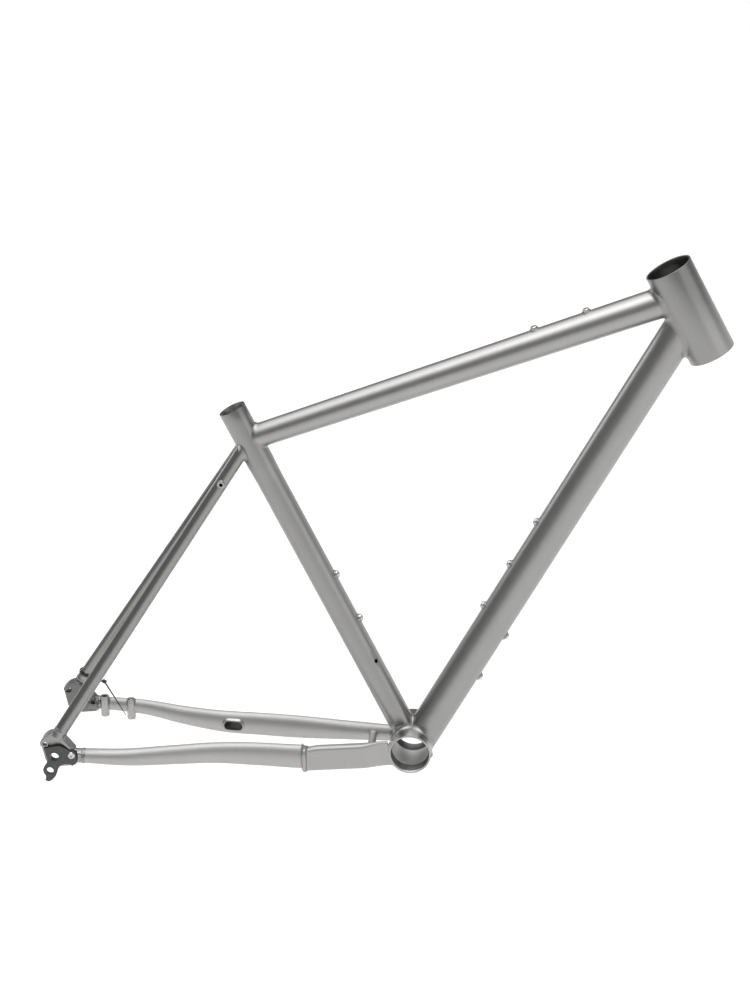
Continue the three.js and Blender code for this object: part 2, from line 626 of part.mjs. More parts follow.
// the hanger's own outline, or the pocket for it that is wider all round
function hangerOutline(grow = 0) {
  const edge = HANGER_EDGE;
  const shape = new THREE.Shape();
  const shift = ([x, z], right, up) => [x + right * grow, z + up * grow];
  const bend = ([pullX, pullZ, ...end], right, up) => [pullX, pullZ + up * grow, ...shift(end, right, up)];
  shape.moveTo(...shift(edge.heel, -1, 1));
  shape.lineTo(...shift(edge.waist, -1, 0));
  shape.quadraticCurveTo(...edge.neck);
  shape.absarc(MECH.x, MECH.z, MECH.radius + grow, radians(138), radians(218));
  shape.lineTo(...edge.stop);
  shape.lineTo(...shift(edge.claw, -1, 0));
  shape.lineTo(...shift(edge.clawLow, 0, -1));
  shape.lineTo(...shift(edge.chin, 0, -1));
  shape.quadraticCurveTo(...bend(edge.jaw, 1, 0));
  shape.quadraticCurveTo(...bend(edge.throat, 0, -1));
  shape.lineTo(...shift(edge.sole, 0, -1));
  shape.lineTo(...shift(edge.notch, 0, -1));
  shape.lineTo(...shift(edge.toe, 0, -1));
  shape.lineTo(...shift(edge.front, 1, 0));
  shape.absarc(EYELET_FRONT.x, EYELET_FRONT.z, EYELET_FRONT.radius + grow, radians(-20), radians(100));
  shape.quadraticCurveTo(...bend(edge.brow, 0, 1));
  return shape;
}

function derailleurHanger() {
  const face = -HUB_HALF - DROPOUT.skin - GAP;
  const outer = face - HANGER.thick;
  const bush = rod(HANGER.bush, vec(AXLE.x, outer, AXLE.z), vec(AXLE.x, -HUB_HALF, AXLE.z), HOLE_FACETS);
  return plate(hangerOutline(), outer, face).add(bush)
    .subtract(sideHole(AXLE.x, AXLE.z, HANGER.axleHole, HOLE_FACETS))
    .subtract(sideHole(MECH.x, MECH.z, HANGER.mech, HOLE_FACETS))
    .subtract(sideHole(EYELET_FRONT.x, EYELET_FRONT.z, DROPOUT.eyelet));
}

function hangerBolt() {
  const { shank, length, head, side, crown, tall, socket, floor } = HANGER_BOLT;
  const face = -HUB_HALF - DROPOUT.skin - GAP - HANGER.thick;
  const profile = [
    [0, -length], [shank, -length], [shank, GAP], [head, GAP], [head, side], [crown, tall],
    [socket, tall], [socket, floor], [0, floor],
  ];
  return turned(profile, vec(EYELET_FRONT.x, face, EYELET_FRONT.z), vec(0, -1, 0), SMALL_FACETS);
}

// ---- flat-mount brake posts through the left chain stay ----
function brakePosts() {
  const axis = vec(Math.sin(radians(BRAKE.lean)), 0, Math.cos(radians(BRAKE.lean)));
  const step = vec(axis.z, 0, -axis.x);
  const rear = vec(BRAKE.rearX, BRAKE.y, BRAKE.rearZ);
  return [0, BRAKE.pitch].map((distance, i) => {
    const centre = along(rear, step, distance);
    return { low: along(centre, axis, -BRAKE.below[i]), high: along(centre, axis, BRAKE.above[i]), axis };
  });
}

function brakeMount({ low, high, axis }) {
  const bore = rod(BRAKE.bore, along(low, axis, -OVERRUN), along(high, axis, OVERRUN), SMALL_FACETS);
  return rod(BRAKE.outer, low, high, STAY_FACETS).subtract(bore);
}

// ---- nylon tie hung loosely round the left seat stay ----
function tieLoop(reach, radius, halfEnd) {
  const shape = new THREE.Path();
  const turn = radians(TIE.turn);
  shape.moveTo(reach, halfEnd);
  shape.absarc(0, 0, radius, turn, 2 * Math.PI - turn);
  shape.lineTo(reach, -halfEnd);
  shape.closePath();
  return shape.getPoints(16);
}

function cableTie() {
  const { low, top } = seatStayEnds(1);
  const line = top.clone().sub(low).normalize();
  const toward = vec(...TIE.toward).normalize();
  const across = line.clone().cross(toward).normalize();
  const square = toward.clone().cross(across);
  const inside = SEAT_STAY.radius + TIE.slack;
  const band = new THREE.Shape(tieLoop(TIE.reach, inside + TIE.thick, TIE.thick * 2));
  band.holes.push(new THREE.Path(tieLoop(TIE.reach - 2 * TIE.thick, inside, TIE.thick)));
  const geometry = new THREE.ExtrudeGeometry(band, { depth: TIE.wide, bevelEnabled: false });
  geometry.applyMatrix4(new THREE.Matrix4().makeBasis(toward, across, square));
  const centre = along(along(low, line, TIE.up), toward, TIE.slack / 2);
  geometry.translate(centre.x, centre.y, centre.z);
  const loopEnd = along(along(centre, square, TIE.wide / 2), toward, TIE.reach);
  const head = rod(TIE.head, along(loopEnd, toward, -1), along(loopEnd, toward, TIE.headLength - 1), 8);
  const tailFrom = along(loopEnd, toward, TIE.headLength / 3);
  const tail = rod(TIE.tailRadius, tailFrom, tailFrom.clone().add(vec(...TIE.tail)), 8, TIE.tailTip);
  return toSolid(geometry).add(head).add(tail);
}

function build() {
  const group = new THREE.Group();
  group.name = 'bicycle_frame';
  const add = (name, solid, finish = TITANIUM) => group.add(toMesh(name, solid, finish));
  add('head_tube', headTube());
  add('top_tube', topTube());
  add('down_tube', downTube());
  add('seat_tube', seatTube());
  add('seatpost_sleeve', seatpostSleeve(), MACHINED);
  add('bottom_bracket_shell', bottomBracketShell(), MACHINED);
  add('seat_stay_left', seatStay(1));
  add('seat_stay_right', seatStay(-1));
  add('chain_stay_left', chainStayLeft());
  add('chain_stay_right', chainStayRight());
  add('chain_stay_yoke', yoke(), MACHINED);
  add('yoke_end_plate', yokeEndPlate(), MACHINED);
  add('chain_stay_bridge', chainStayBridge());
  add('seat_stay_bridge', seatStayBridge());
  add('rack_boss_left', rackBoss(1), MACHINED);
  add('rack_boss_right', rackBoss(-1), MACHINED);
  add('hose_port_ring', hosePortRing(), MACHINED);
  add('dropout_left', dropout(1), MACHINED);
  add('dropout_right', dropout(-1), MACHINED);
  add('derailleur_hanger', derailleurHanger(), ANODISED);
  add('hanger_bolt', hangerBolt(), STEEL);
  const [rearPost, frontPost] = brakePosts();
  add('brake_mount_rear', brakeMount(rearPost), MACHINED);
  add('brake_mount_front', brakeMount(frontPost), MACHINED);
  for (const site of bossSites()) {
    add(site.name, boss(site), MACHINED);
    add(`${site.name}_screw`, bossScrew(site), STEEL);
  }
  add('cable_tie', cableTie(), NYLON);
  return group;
}

export default build();
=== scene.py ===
import logging
import math
from dataclasses import dataclass, field
from enum import Enum
from typing import Callable, Iterable, Optional, Sequence

import bpy
from mathutils import Matrix, Vector


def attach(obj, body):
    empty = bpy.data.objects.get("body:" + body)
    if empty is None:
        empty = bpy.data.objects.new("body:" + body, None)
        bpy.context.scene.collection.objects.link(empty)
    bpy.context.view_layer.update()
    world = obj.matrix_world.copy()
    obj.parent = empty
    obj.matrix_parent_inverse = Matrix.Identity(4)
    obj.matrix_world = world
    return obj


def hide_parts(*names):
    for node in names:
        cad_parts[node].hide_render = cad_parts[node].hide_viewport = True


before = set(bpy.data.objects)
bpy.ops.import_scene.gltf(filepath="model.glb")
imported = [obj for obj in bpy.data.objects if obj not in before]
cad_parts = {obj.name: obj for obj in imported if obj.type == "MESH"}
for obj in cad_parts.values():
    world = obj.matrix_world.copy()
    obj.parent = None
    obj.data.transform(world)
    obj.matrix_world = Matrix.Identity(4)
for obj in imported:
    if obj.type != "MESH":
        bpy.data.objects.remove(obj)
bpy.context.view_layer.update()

LOG = logging.getLogger("bicycle_frame")
METRE = 1000.0                    # shapes are drawn in millimetres and scaled at the end
FORWARD = Vector((1, 0, 0))
LEFT = Vector((0, 1, 0))
UP = Vector((0, 0, 1))
ORIGIN = Vector((0, 0, 0))
STAY_GRAIN = Vector((1, 0, -0.2))  # the way that the chain stays are brushed
ROOT = 0.9                        # how deep a weld reaches into its joint
TURN = 2 * math.pi

Place = Callable[[float, float], Vector]


class Slot(Enum):
    """The record's material slots."""

    TITANIUM = "titanium"
    MACHINED = "machined_titanium"
    ANODISED = "anodised_alloy"
    STEEL = "steel"
    NYLON = "nylon"


# ---------------------------------------------------------------- shader maths


class Wire:
    """A socket in a material's node tree, with arithmetic on it."""

    def __init__(self, graph: "Graph", socket: bpy.types.NodeSocket) -> None:
        """Keeps the tree and the socket."""
        self.graph = graph
        self.socket = socket

    def _maths(self, operation: str, first: object, second: object) -> "Wire":
        """Adds one Math node.

        Args:
            operation: the node's operation.
            first: a number or a wire.
            second: a number or a wire.

        Returns:
            The node's output.
        """
        return self.graph.node("ShaderNodeMath", {"operation": operation}, {0: first, 1: second})

    def __add__(self, other: object) -> "Wire":
        """Adds a number or a wire."""
        return self._maths("ADD", self, other)

    def __radd__(self, other: object) -> "Wire":
        """Adds to a number."""
        return self._maths("ADD", other, self)

    def __sub__(self, other: object) -> "Wire":
        """Subtracts a number or a wire."""
        return self._maths("SUBTRACT", self, other)

    def __rsub__(self, other: object) -> "Wire":
        """Subtracts from a number."""
        return self._maths("SUBTRACT", other, self)

    def __mul__(self, other: object) -> "Wire":
        """Multiplies by a number or a wire."""
        return self._maths("MULTIPLY", self, other)

    def __rmul__(self, other: object) -> "Wire":
        """Multiplies a number."""
        return self._maths("MULTIPLY", other, self)


def set_stops(ramp: bpy.types.ColorRamp, stops: Sequence[tuple]) -> None:
    """Gives a ramp its grey stops, each a position and a shade.

    Args:
        ramp: the ramp.
        stops: pairs of position and shade.
    """
    while len(ramp.elements) < len(stops):
        ramp.elements.new(0.5)
    for element, (position, shade) in zip(ramp.elements, stops):
        element.position = position
        element.color = (shade, shade, shade, 1)


class Graph:
    """The node tree of one material."""

    def __init__(self, name: str) -> None:
        """Starts an empty material.

        Args:
            name: the material's name.
        """
        self.material = bpy.data.materials.new(name)
        self.material.use_nodes = True
        self.tree = self.material.node_tree
        self.tree.nodes.clear()
        self.shader = self.tree.nodes.new("ShaderNodeBsdfPrincipled")
        output = self.tree.nodes.new("ShaderNodeOutputMaterial")
        self.tree.links.new(self.shader.outputs["BSDF"], output.inputs["Surface"])

    def put(self, value: object, socket: bpy.types.NodeSocket) -> None:
        """Links a wire to an input socket, or sets the socket to a value.

        Args:
            value: a wire or a plain value.
            socket: the input socket.
        """
        if isinstance(value, Wire):
            self.tree.links.new(value.socket, socket)
        else:
            socket.default_value = value

    def node(self, kind: str, settings: dict, sockets: dict, output: object = 0) -> Wire:
        """Adds a node.

        Args:
            kind: the node's type.
            settings: its own properties; "stops" gives a ramp's positions and colours.
            sockets: a value or a wire for each input socket that is used.
            output: the name or number of the output that is wanted.

        Returns:
            That output.
        """
        made = self.tree.nodes.new(kind)
        for key, value in settings.items():
            if key == "stops":
                set_stops(made.color_ramp, value)
            else:
                setattr(made, key, value)
        for key, value in sockets.items():
            self.put(value, made.inputs[key])
        return Wire(self, made.outputs[output])

    def object_space(
        self, axis: Vector, centre: Vector, scale: Sequence[float] = (1, 1, 1),
    ) -> Wire:
        """The object's own coordinates, turned so that an axis becomes Z.

        Args:
            axis: the direction that becomes Z.
            centre: the point that becomes the origin, in metres.
            scale: how fast the pattern runs along each new axis.

        Returns:
            The coordinates.
        """
        source = self.node("ShaderNodeTexCoord", {}, {}, "Object")
        turn = axis.rotation_difference(UP)
        moved = self.node(
            "ShaderNodeVectorMath", {"operation": "SUBTRACT"}, {0: source, 1: tuple(centre)},
        )
        return self.node(
            "ShaderNodeMapping", {"vector_type": "POINT"},
            {"Vector": moved, "Rotation": tuple(turn.to_euler()), "Scale": tuple(scale)},
        )

    def noise(self, where: Wire, scale: float, detail: float = 2.0, rough: float = 0.5) -> Wire:
        """Noise from 0 to 1.

        Args:
            where: the coordinates.
            scale: its frequency.
            detail: how many octaves it has.
            rough: how strong the higher octaves are.

        Returns:
            The noise value.
        """
        return self.node(
            "ShaderNodeTexNoise", {"noise_dimensions": "3D"},
            {"Vector": where, "Scale": scale, "Detail": detail, "Roughness": rough}, "Fac",
        )

    def ramp(self, value: Wire, *stops: tuple) -> Wire:
        """Passes a value through a grey ramp with the given stops."""
        return self.node("ShaderNodeValToRGB", {"stops": stops}, {"Fac": value}, "Color")

    def mix(self, factor: object, first: object, second: object) -> Wire:
        """Mixes two colours.

        Args:
            factor: 0 gives the first, 1 the second.
            first: a colour or a wire.
            second: a colour or a wire.

        Returns:
            The mixed colour.
        """
        made = self.tree.nodes.new("ShaderNodeMix")
        made.data_type = "RGBA"
        for index, value in ((0, factor), (6, first), (7, second)):
            self.put(value, made.inputs[index])
        return Wire(self, made.outputs[2])

    def feed(self, name: str, value: object) -> None:
        """Sets one socket of the shader to a value or a wire."""
        self.put(value, self.shader.inputs[name])

    def bump(
        self, height: Wire, distance: float, strength: float, after: Optional[Wire] = None,
    ) -> Wire:
        """Turns a height into a normal.

        Args:
            height: from 0 to 1.
            distance: how deep it is, in metres.
            strength: how much of it shows.
            after: an earlier normal to build on.

        Returns:
            The normal.
        """
        sockets = {"Height": height, "Distance": distance, "Strength": strength}
        if after is not None:
            sockets["Normal"] = after
        return self.node("ShaderNodeBump", {}, sockets, "Normal")


def grey(shade: float, warmth: float = 0.0) -> tuple:
    """A grey colour, a little warm or cold.

    Args:
        shade: linear brightness.
        warmth: above 0 is warmer.

    Returns:
        An RGBA colour.
    """
    return (shade * (1 + warmth), shade, shade * (1 - warmth), 1.0)


# ---------------------------------------------------------------- finishes


@dataclass(frozen=True)
class BrushedTitanium:
    """Bare tube: blasted, then brushed by hand along its length."""

    shade: float = 0.30
    warmth: float = 0.012
    roughness: float = 0.34
    cloud: float = 0.05
    streak: float = 0.07
    slot: Slot = Slot.TITANIUM

    def material(self, name: str, axis: Vector, centre: Vector) -> bpy.types.Material:
        """Builds the material for one piece.

        Args:
            name: the material's name.
            axis: the direction that the tube runs in.
            centre: a point on the piece, in metres.

        Returns:
            The material.
        """
        g = Graph(name)
        space = g.object_space(axis, centre)
        along = g.object_space(axis, centre, (1, 1, 0.045))
        cloud = g.noise(space, 22, 3)
        patch = g.noise(space, 90, 4, 0.6)
        streak = g.noise(along, 1500, 2)
        broad = g.noise(along, 260, 3)
        blast = g.noise(space, 2600, 1)
        scuff = g.ramp(g.noise(along, 420, 5, 0.7), (0.60, 0.0), (0.74, 1.0))
        tone = g.ramp(cloud * 0.55 + patch * 0.2 + broad * 0.25, (0.25, 0.0), (0.75, 1.0))
        dark = grey(self.shade * (1 - self.cloud), self.warmth)
        light = grey(self.shade * (1 + self.cloud), self.warmth * 0.5)
        colour = g.mix(tone, dark, light)
        colour = g.mix(scuff * 0.35, colour, grey(self.shade * 1.18, 0))
        g.feed("Base Color", colour)
        g.feed("Metallic", 1.0)
        rough = self.roughness + (streak - 0.5) * self.streak + (patch - 0.5) * 0.08 - scuff * 0.05
        g.feed("Roughness", rough)
        waves = g.bump(g.noise(along, 48, 2), 0.00045, 0.35)
        lines = g.bump(streak * 0.7 + broad * 0.3, 0.00002, 0.45, waves)
        g.feed("Normal", g.bump(blast, 0.000012, 0.4, lines))
        return g.material


@dataclass(frozen=True)
class WeldTitanium:
    """Weld metal: smoother and a little brighter, with faint heat tint in the ripples."""

    shade: float = 0.29
    roughness: float = 0.36
    slot: Slot = Slot.TITANIUM

    def material(self, name: str, axis: Vector, centre: Vector) -> bpy.types.Material:
        """Builds the material for one weld.

        Args:
            name: the material's name.
            axis: the direction that its grain or its turning axis runs in.
            centre: a point on the piece, in metres.

        Returns:
            The material.
        """
        g = Graph(name)
        space = g.object_space(axis, centre)
        cloud = g.noise(space, 160, 3)
        fine = g.noise(space, 1900, 2)
        tint = g.ramp(g.noise(space, 70, 2), (0.45, 0.0), (0.7, 1.0))
        colour = g.mix(cloud, grey(self.shade * 0.9, 0.01), grey(self.shade * 1.08, 0.0))
        straw = (self.shade * 1.02, self.shade * 0.96, self.shade * 0.86, 1)
        colour = g.mix(tint * 0.15, colour, straw)
        g.feed("Base Color", colour)
        g.feed("Metallic", 1.0)
        g.feed("Roughness", self.roughness + (cloud - 0.5) * 0.1 + (fine - 0.5) * 0.08)
        g.feed("Normal", g.bump(fine, 0.000015, 0.3, g.bump(cloud, 0.0001, 0.2)))
        return g.material


@dataclass(frozen=True)
class TurnedMetal:
    """Lathe or mill finish: fine rings round an axis, with polished high spots and dull patches."""

    shade: float = 0.45
    warmth: float = 0.008
    roughness: float = 0.28
    rings: float = 2400.0
    groove: float = 0.000012
    patches: float = 0.25
    slot: Slot = Slot.MACHINED

    def material(self, name: str, axis: Vector, centre: Vector) -> bpy.types.Material:
        """Builds the material for one turned or milled piece.

        Args:
            name: the material's name.
            axis: the direction that its grain or its turning axis runs in.
            centre: a point on the piece, in metres.

        Returns:
            The material.
        """
        g = Graph(name)
        space = g.object_space(axis, centre)
        split = g.tree.nodes.new("ShaderNodeSeparateXYZ")
        g.tree.links.new(space.socket, split.inputs[0])
        x, y, z = (Wire(g, split.outputs[i]) for i in range(3))
        radius = g.node("ShaderNodeMath", {"operation": "SQRT"}, {0: x * x + y * y})
        run = g.node("ShaderNodeCombineXYZ", {}, {0: radius, 1: z * 0.8, 2: radius * 0.3})
        ring = g.noise(run, self.rings, 2)
        cloud = g.noise(space, 75, 4)
        blast = g.noise(space, 2300, 1)
        dull = g.ramp(g.noise(space, 210, 4, 0.65), (0.5, 0.0), (0.72, 1.0))
        tone = cloud * 0.7 + ring * 0.3
        dark, light = (grey(self.shade * k, self.warmth) for k in (0.88, 1.12))
        colour = g.mix(tone, dark, light)
        colour = g.mix(dull * self.patches, colour, grey(self.shade * 0.72, self.warmth * 2))
        g.feed("Base Color", colour)
        g.feed("Metallic", 1.0)
        rough = self.roughness + (ring - 0.5) * 0.12 + (cloud - 0.5) * 0.06 + dull * 0.06
        g.feed("Roughness", rough)
        lathe = g.bump(ring, self.groove, 0.5)
        g.feed("Normal", g.bump(blast, 0.00001, 0.3, lathe))
        return g.material


@dataclass(frozen=True)
class AnodisedPlate:
    """Dark anodised alloy with bright metal where it has been rubbed."""

    shade: float = 0.085
    roughness: float = 0.42
    slot: Slot = Slot.ANODISED

    def material(self, name: str, axis: Vector, centre: Vector) -> bpy.types.Material:
        """Builds the material for one plate.

        Args:
            name: the material's name.
            axis: the direction that its grain or its turning axis runs in.
            centre: a point on the piece, in metres.

        Returns:
            The material.
        """
        g = Graph(name)
        space = g.object_space(axis, centre)
        cloud = g.noise(space, 110, 3)
        blast = g.noise(space, 1800, 2)
        rub = g.ramp(g.noise(space, 330, 6, 0.72), (0.62, 0.0), (0.7, 1.0))
        colour = g.mix(cloud, grey(self.shade * 0.8, -0.02), grey(self.shade * 1.25, -0.01))
        colour = g.mix(rub * 0.5, colour, grey(0.32, 0.0))
        g.feed("Base Color", colour)
        g.feed("Metallic", 0.85)
        g.feed("Roughness", self.roughness + (cloud - 0.5) * 0.1 - rub * 0.1)
        g.feed("Normal", g.bump(blast, 0.00002, 0.45))
        return g.material


@dataclass(frozen=True)
class BlackNylon:
    """Moulded nylon with a faint mould texture and pale handling marks."""

    slot: Slot = Slot.NYLON

    def material(self, name: str, axis: Vector, centre: Vector) -> bpy.types.Material:
        """Builds the material for one moulding.

        Args:
            name: the material's name.
            axis: the direction that its grain or its turning axis runs in.
            centre: a point on the piece, in metres.

        Returns:
            The material.
        """
        g = Graph(name)
        space = g.object_space(axis, centre)
        along = g.object_space(axis, centre, (1, 1, 0.1))
        fine = g.noise(space, 1500, 2)
        mark = g.ramp(g.noise(along, 500, 4), (0.58, 0.0), (0.72, 1.0))
        g.feed("Base Color", g.mix(mark * 0.4, (0.012, 0.012, 0.013, 1), (0.045, 0.045, 0.047, 1)))
        g.feed("Roughness", 0.42 + (fine - 0.5) * 0.15)
        g.feed("Normal", g.bump(fine, 0.00003, 0.3))
        return g.material


# These copies of one titanium differ in shade from piece to piece because of how each is lit. The
# pale top tube, chain stays, yoke and paler weld are painted light, and the darker head tube and
# seat stays are painted shade. The yoke's paler grey is partly also its smoother machined finish.
HEAD_TUBE = BrushedTitanium(shade=0.29)
DOWN_TUBE = BrushedTitanium(shade=0.32)
TOP_TUBE = BrushedTitanium(shade=0.36, roughness=0.37)
SEAT_TUBE = BrushedTitanium(shade=0.30)
SEAT_STAYS = BrushedTitanium(shade=0.28, roughness=0.3)
CHAIN_STAYS = BrushedTitanium(shade=0.45, roughness=0.54)
WELD = WeldTitanium()
PALE_WELD = WeldTitanium(shade=0.42, roughness=0.5)
MACHINED = TurnedMetal(shade=0.38)
YOKE = BrushedTitanium(shade=0.43, roughness=0.54, cloud=0.03, streak=0.04, slot=Slot.MACHINED)
# Both dropouts are the same metal; the far left one is painted darker as shade and the near right
# one painted lighter as light.
SHADED_LEFT_DROPOUT = TurnedMetal(shade=0.19, roughness=0.42, rings=900, patches=0.1)
LIT_RIGHT_DROPOUT = TurnedMetal(shade=0.32, roughness=0.4, rings=900, patches=0.1)
# Painted light: the inside of the bore gets a much paler grey than the shell, standing in for light
# that it lacks.
BORE_PAINTED_LIGHT = TurnedMetal(shade=0.85, roughness=0.6, patches=0.1)
# Painted shade: the threads are given a dark grey for the shade in their grooves.
THREAD_PAINTED_SHADE = TurnedMetal(shade=0.2, roughness=0.5)
STEEL = TurnedMetal(shade=0.55, warmth=0.0, roughness=0.22, rings=3200, slot=Slot.STEEL)
ALLOY = AnodisedPlate()
NYLON = BlackNylon()


# ---------------------------------------------------------------- modelling


class Bench:
    """Operators that make and finish a mesh."""

    count = 0

    @staticmethod
    def pick(*pieces: bpy.types.Object) -> None:
        """Deselects everything, then selects the pieces; the first is active.

        Args:
            pieces: what is selected.
        """
        bpy.ops.object.select_all(action="DESELECT")
        for piece in pieces:
            piece.select_set(True)
        bpy.context.view_layer.objects.active = pieces[0]

    @staticmethod
    def edit(piece: bpy.types.Object, *steps: Callable[[], object]) -> None:
        """Runs operators in edit mode on the whole mesh.

        Args:
            piece: the piece.
            steps: the operators, in order.
        """
        Bench.pick(piece)
        bpy.ops.object.mode_set(mode="EDIT")
        bpy.ops.mesh.select_all(action="SELECT")
        for step in steps:
            step()
        bpy.ops.object.mode_set(mode="OBJECT")

    @staticmethod
    def weld_seams(piece: bpy.types.Object, distance: float = 0.004) -> None:
        """Merges doubles, drops loose parts and turns the faces outwards.

        Args:
            piece: the piece.
            distance: how close doubles are, in its own units.
        """
        Bench.edit(
            piece,
            lambda: bpy.ops.mesh.remove_doubles(threshold=distance),
            lambda: bpy.ops.mesh.delete_loose(use_verts=True, use_edges=True, use_faces=False),
            lambda: bpy.ops.mesh.select_all(action="SELECT"),
            lambda: bpy.ops.mesh.normals_make_consistent(inside=False),
        )

    @staticmethod
    def skin(name: str, around: int, along: int, place: Place) -> bpy.types.Object:
        """Rolls a grid into a tube or a ring.

        Args:
            name: the piece's name.
            around: faces in the direction u.
            along: faces in the direction v.
            place: gives the point for u and v, each from 0 to 1.

        Returns:
            The piece, with its seams merged.
        """
        bpy.ops.object.select_all(action="DESELECT")
        bpy.ops.mesh.primitive_grid_add(x_subdivisions=around, y_subdivisions=along, size=1)
        piece = bpy.context.object
        piece.name = name
        for vertex in piece.data.vertices:
            vertex.co = place(vertex.co.x + 0.5, vertex.co.y + 0.5)
        Bench.weld_seams(piece)
        return piece

    @staticmethod
    def turned(
        name: str, profile: Sequence[tuple], start: Vector, axis: Vector, steps: int = 64,
    ) -> bpy.types.Object:
        """Spins a closed profile round an axis.

        Args:
            name: the piece's name.
            profile: pairs of radius and distance along the axis.
            start: the point on the axis that distances are measured from.
            axis: the direction of the axis.
            steps: faces round the axis.

        Returns:
            The piece.
        """
        bpy.ops.object.select_all(action="DESELECT")
        bpy.ops.mesh.primitive_circle_add(vertices=len(profile), fill_type="NOTHING")
        piece = bpy.context.object
        piece.name = name
        for vertex, (radius, height) in zip(piece.data.vertices, profile):
            vertex.co = (radius, 0, height)
        Bench.edit(
            piece,
            lambda: bpy.ops.mesh.spin(steps=steps, angle=TURN, center=(0, 0, 0), axis=(0, 0, 1)),
        )
        turn = UP.rotation_difference(axis).to_matrix().to_4x4()
        piece.data.transform(Matrix.Translation(start) @ turn)
        Bench.weld_seams(piece)
        return piece

    @staticmethod
    def modify(piece: bpy.types.Object, kind: str, **settings: object) -> None:
        """Adds a modifier with its settings and applies it.

        Args:
            piece: the piece.
            kind: the modifier's type.
            settings: the modifier's own properties.
        """
        Bench.pick(piece)
        modifier = piece.modifiers.new(kind.lower(), kind)
        for key, value in settings.items():
            setattr(modifier, key, value)
        bpy.ops.object.modifier_apply(modifier=modifier.name)

    @staticmethod
    def hollow(piece: bpy.types.Object, wall: float) -> None:
        """Gives an open tube its wall, inwards."""
        Bench.modify(piece, "SOLIDIFY", thickness=wall, offset=-1, use_even_offset=False)

    @staticmethod
    def round_edges(
        piece: bpy.types.Object, width: float, segments: int = 2, angle: float = 35,
    ) -> None:
        """Rounds every edge that is sharper than an angle.

        Args:
            piece: the piece.
            width: how wide the rounding is.
            segments: faces across it.
            angle: the angle in degrees.
        """
        Bench.modify(
            piece, "BEVEL", width=width, segments=segments, limit_method="ANGLE",
            angle_limit=math.radians(angle), use_clamp_overlap=True,
        )

    @staticmethod
    def cut(piece: bpy.types.Object, cutter: bpy.types.Object) -> None:
        """Takes the cutter's space out of the piece and deletes the cutter."""
        Bench.modify(piece, "BOOLEAN", operation="DIFFERENCE", object=cutter, solver="EXACT")
        bpy.data.objects.remove(cutter)

    @staticmethod
    def rod(
        name: str, start: Vector, end: Vector, radius: float, steps: int = 48,
    ) -> bpy.types.Object:
        """A plain closed rod, for cutting with.

        Args:
            name: the cutter's name.
            start: the centre of one end.
            end: the centre of the other end.
            radius: its radius.
            steps: faces round it.

        Returns:
            The rod.
        """
        length = (end - start).length
        profile = [(0, 0), (radius, 0), (radius, length), (0, length)]
        return Bench.turned(name, profile, start, (end - start).normalized(), steps)

    @staticmethod
    def from_node(name: str, node: str, voxel: float, rounds: int) -> bpy.types.Object:
        """A copy of a CAD node with its edges softened all over.

        Args:
            name: the piece's name.
            node: the CAD node.
            voxel: the size of the new faces.
            rounds: how often the surface is smoothed.

        Returns:
            The piece.
        """
        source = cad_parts[node]
        piece = bpy.data.objects.new(name, source.data.copy())
        bpy.context.scene.collection.objects.link(piece)
        piece.data.transform(Matrix.Scale(METRE, 4))
        piece.data.materials.clear()
        Bench.weld_seams(piece, 0.01)
        Bench.modify(piece, "REMESH", mode="VOXEL", voxel_size=voxel, adaptivity=0)
        Bench.modify(piece, "SMOOTH", factor=0.5, iterations=rounds)
        return piece

    @staticmethod
    def finish(
        piece: bpy.types.Object, finish: object, axis: Vector, centre: Vector,
        replaces: Sequence[str] = (), sharp: float = 35,
    ) -> bpy.types.Object:
        """Scales a piece to metres, shades it, dresses it and fixes it to the frame.

        Args:
            piece: the piece, in millimetres.
            finish: one of the finishes.
            axis: the direction that its grain or its turning axis runs in.
            centre: the point that its pattern is centred on, in millimetres.
            replaces: the CAD nodes that it stands for.
            sharp: edges above this angle in degrees stay sharp.

        Returns:
            The piece.
        """
        piece.data.transform(Matrix.Scale(1 / METRE, 4))
        Bench.pick(piece)
        bpy.ops.object.shade_smooth_by_angle(angle=math.radians(sharp))
        piece.data.materials.clear()
        material = finish.material(f"{piece.name}_finish", axis.normalized(), centre / METRE)
        piece.data.materials.append(material)
        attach(piece, "root")
        if replaces:
            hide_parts(*replaces)
        Bench.count += 1
        LOG.info("%s: %d faces", piece.name, len(piece.data.polygons))
        return piece


def redress(
    piece: bpy.types.Object, finish: object, axis: Vector, inside: Callable[[Vector], bool],
) -> None:
    """Gives part of a finished piece another finish.

    Args:
        piece: the piece.
        finish: the other finish.
        axis: the direction of its grain.
        inside: tells whether a face centre, in millimetres, belongs to that part.
    """
    number = len(piece.data.materials)
    piece.data.materials.append(finish.material(f"{piece.name}_finish_{number}", axis, ORIGIN))
    for polygon in piece.data.polygons:
        if inside(polygon.center * METRE):
            polygon.material_index = number


# ---------------------------------------------------------------- surfaces that tubes meet


class Surface:
    """Something that a tube runs into."""

    def distance(self, point: Vector) -> float:
        """How far a point is outside the surface."""
        raise NotImplementedError

    def normal(self, point: Vector) -> Vector:
        """The outward direction at a point.

        Args:
            point: the place that is asked about.

        Returns:
            The direction, one unit long.
        """
        step = 0.05
        here = self.distance(point)
        slope = [self.distance(point + way * step) - here for way in (FORWARD, LEFT, UP)]
        return Vector(slope).normalized()


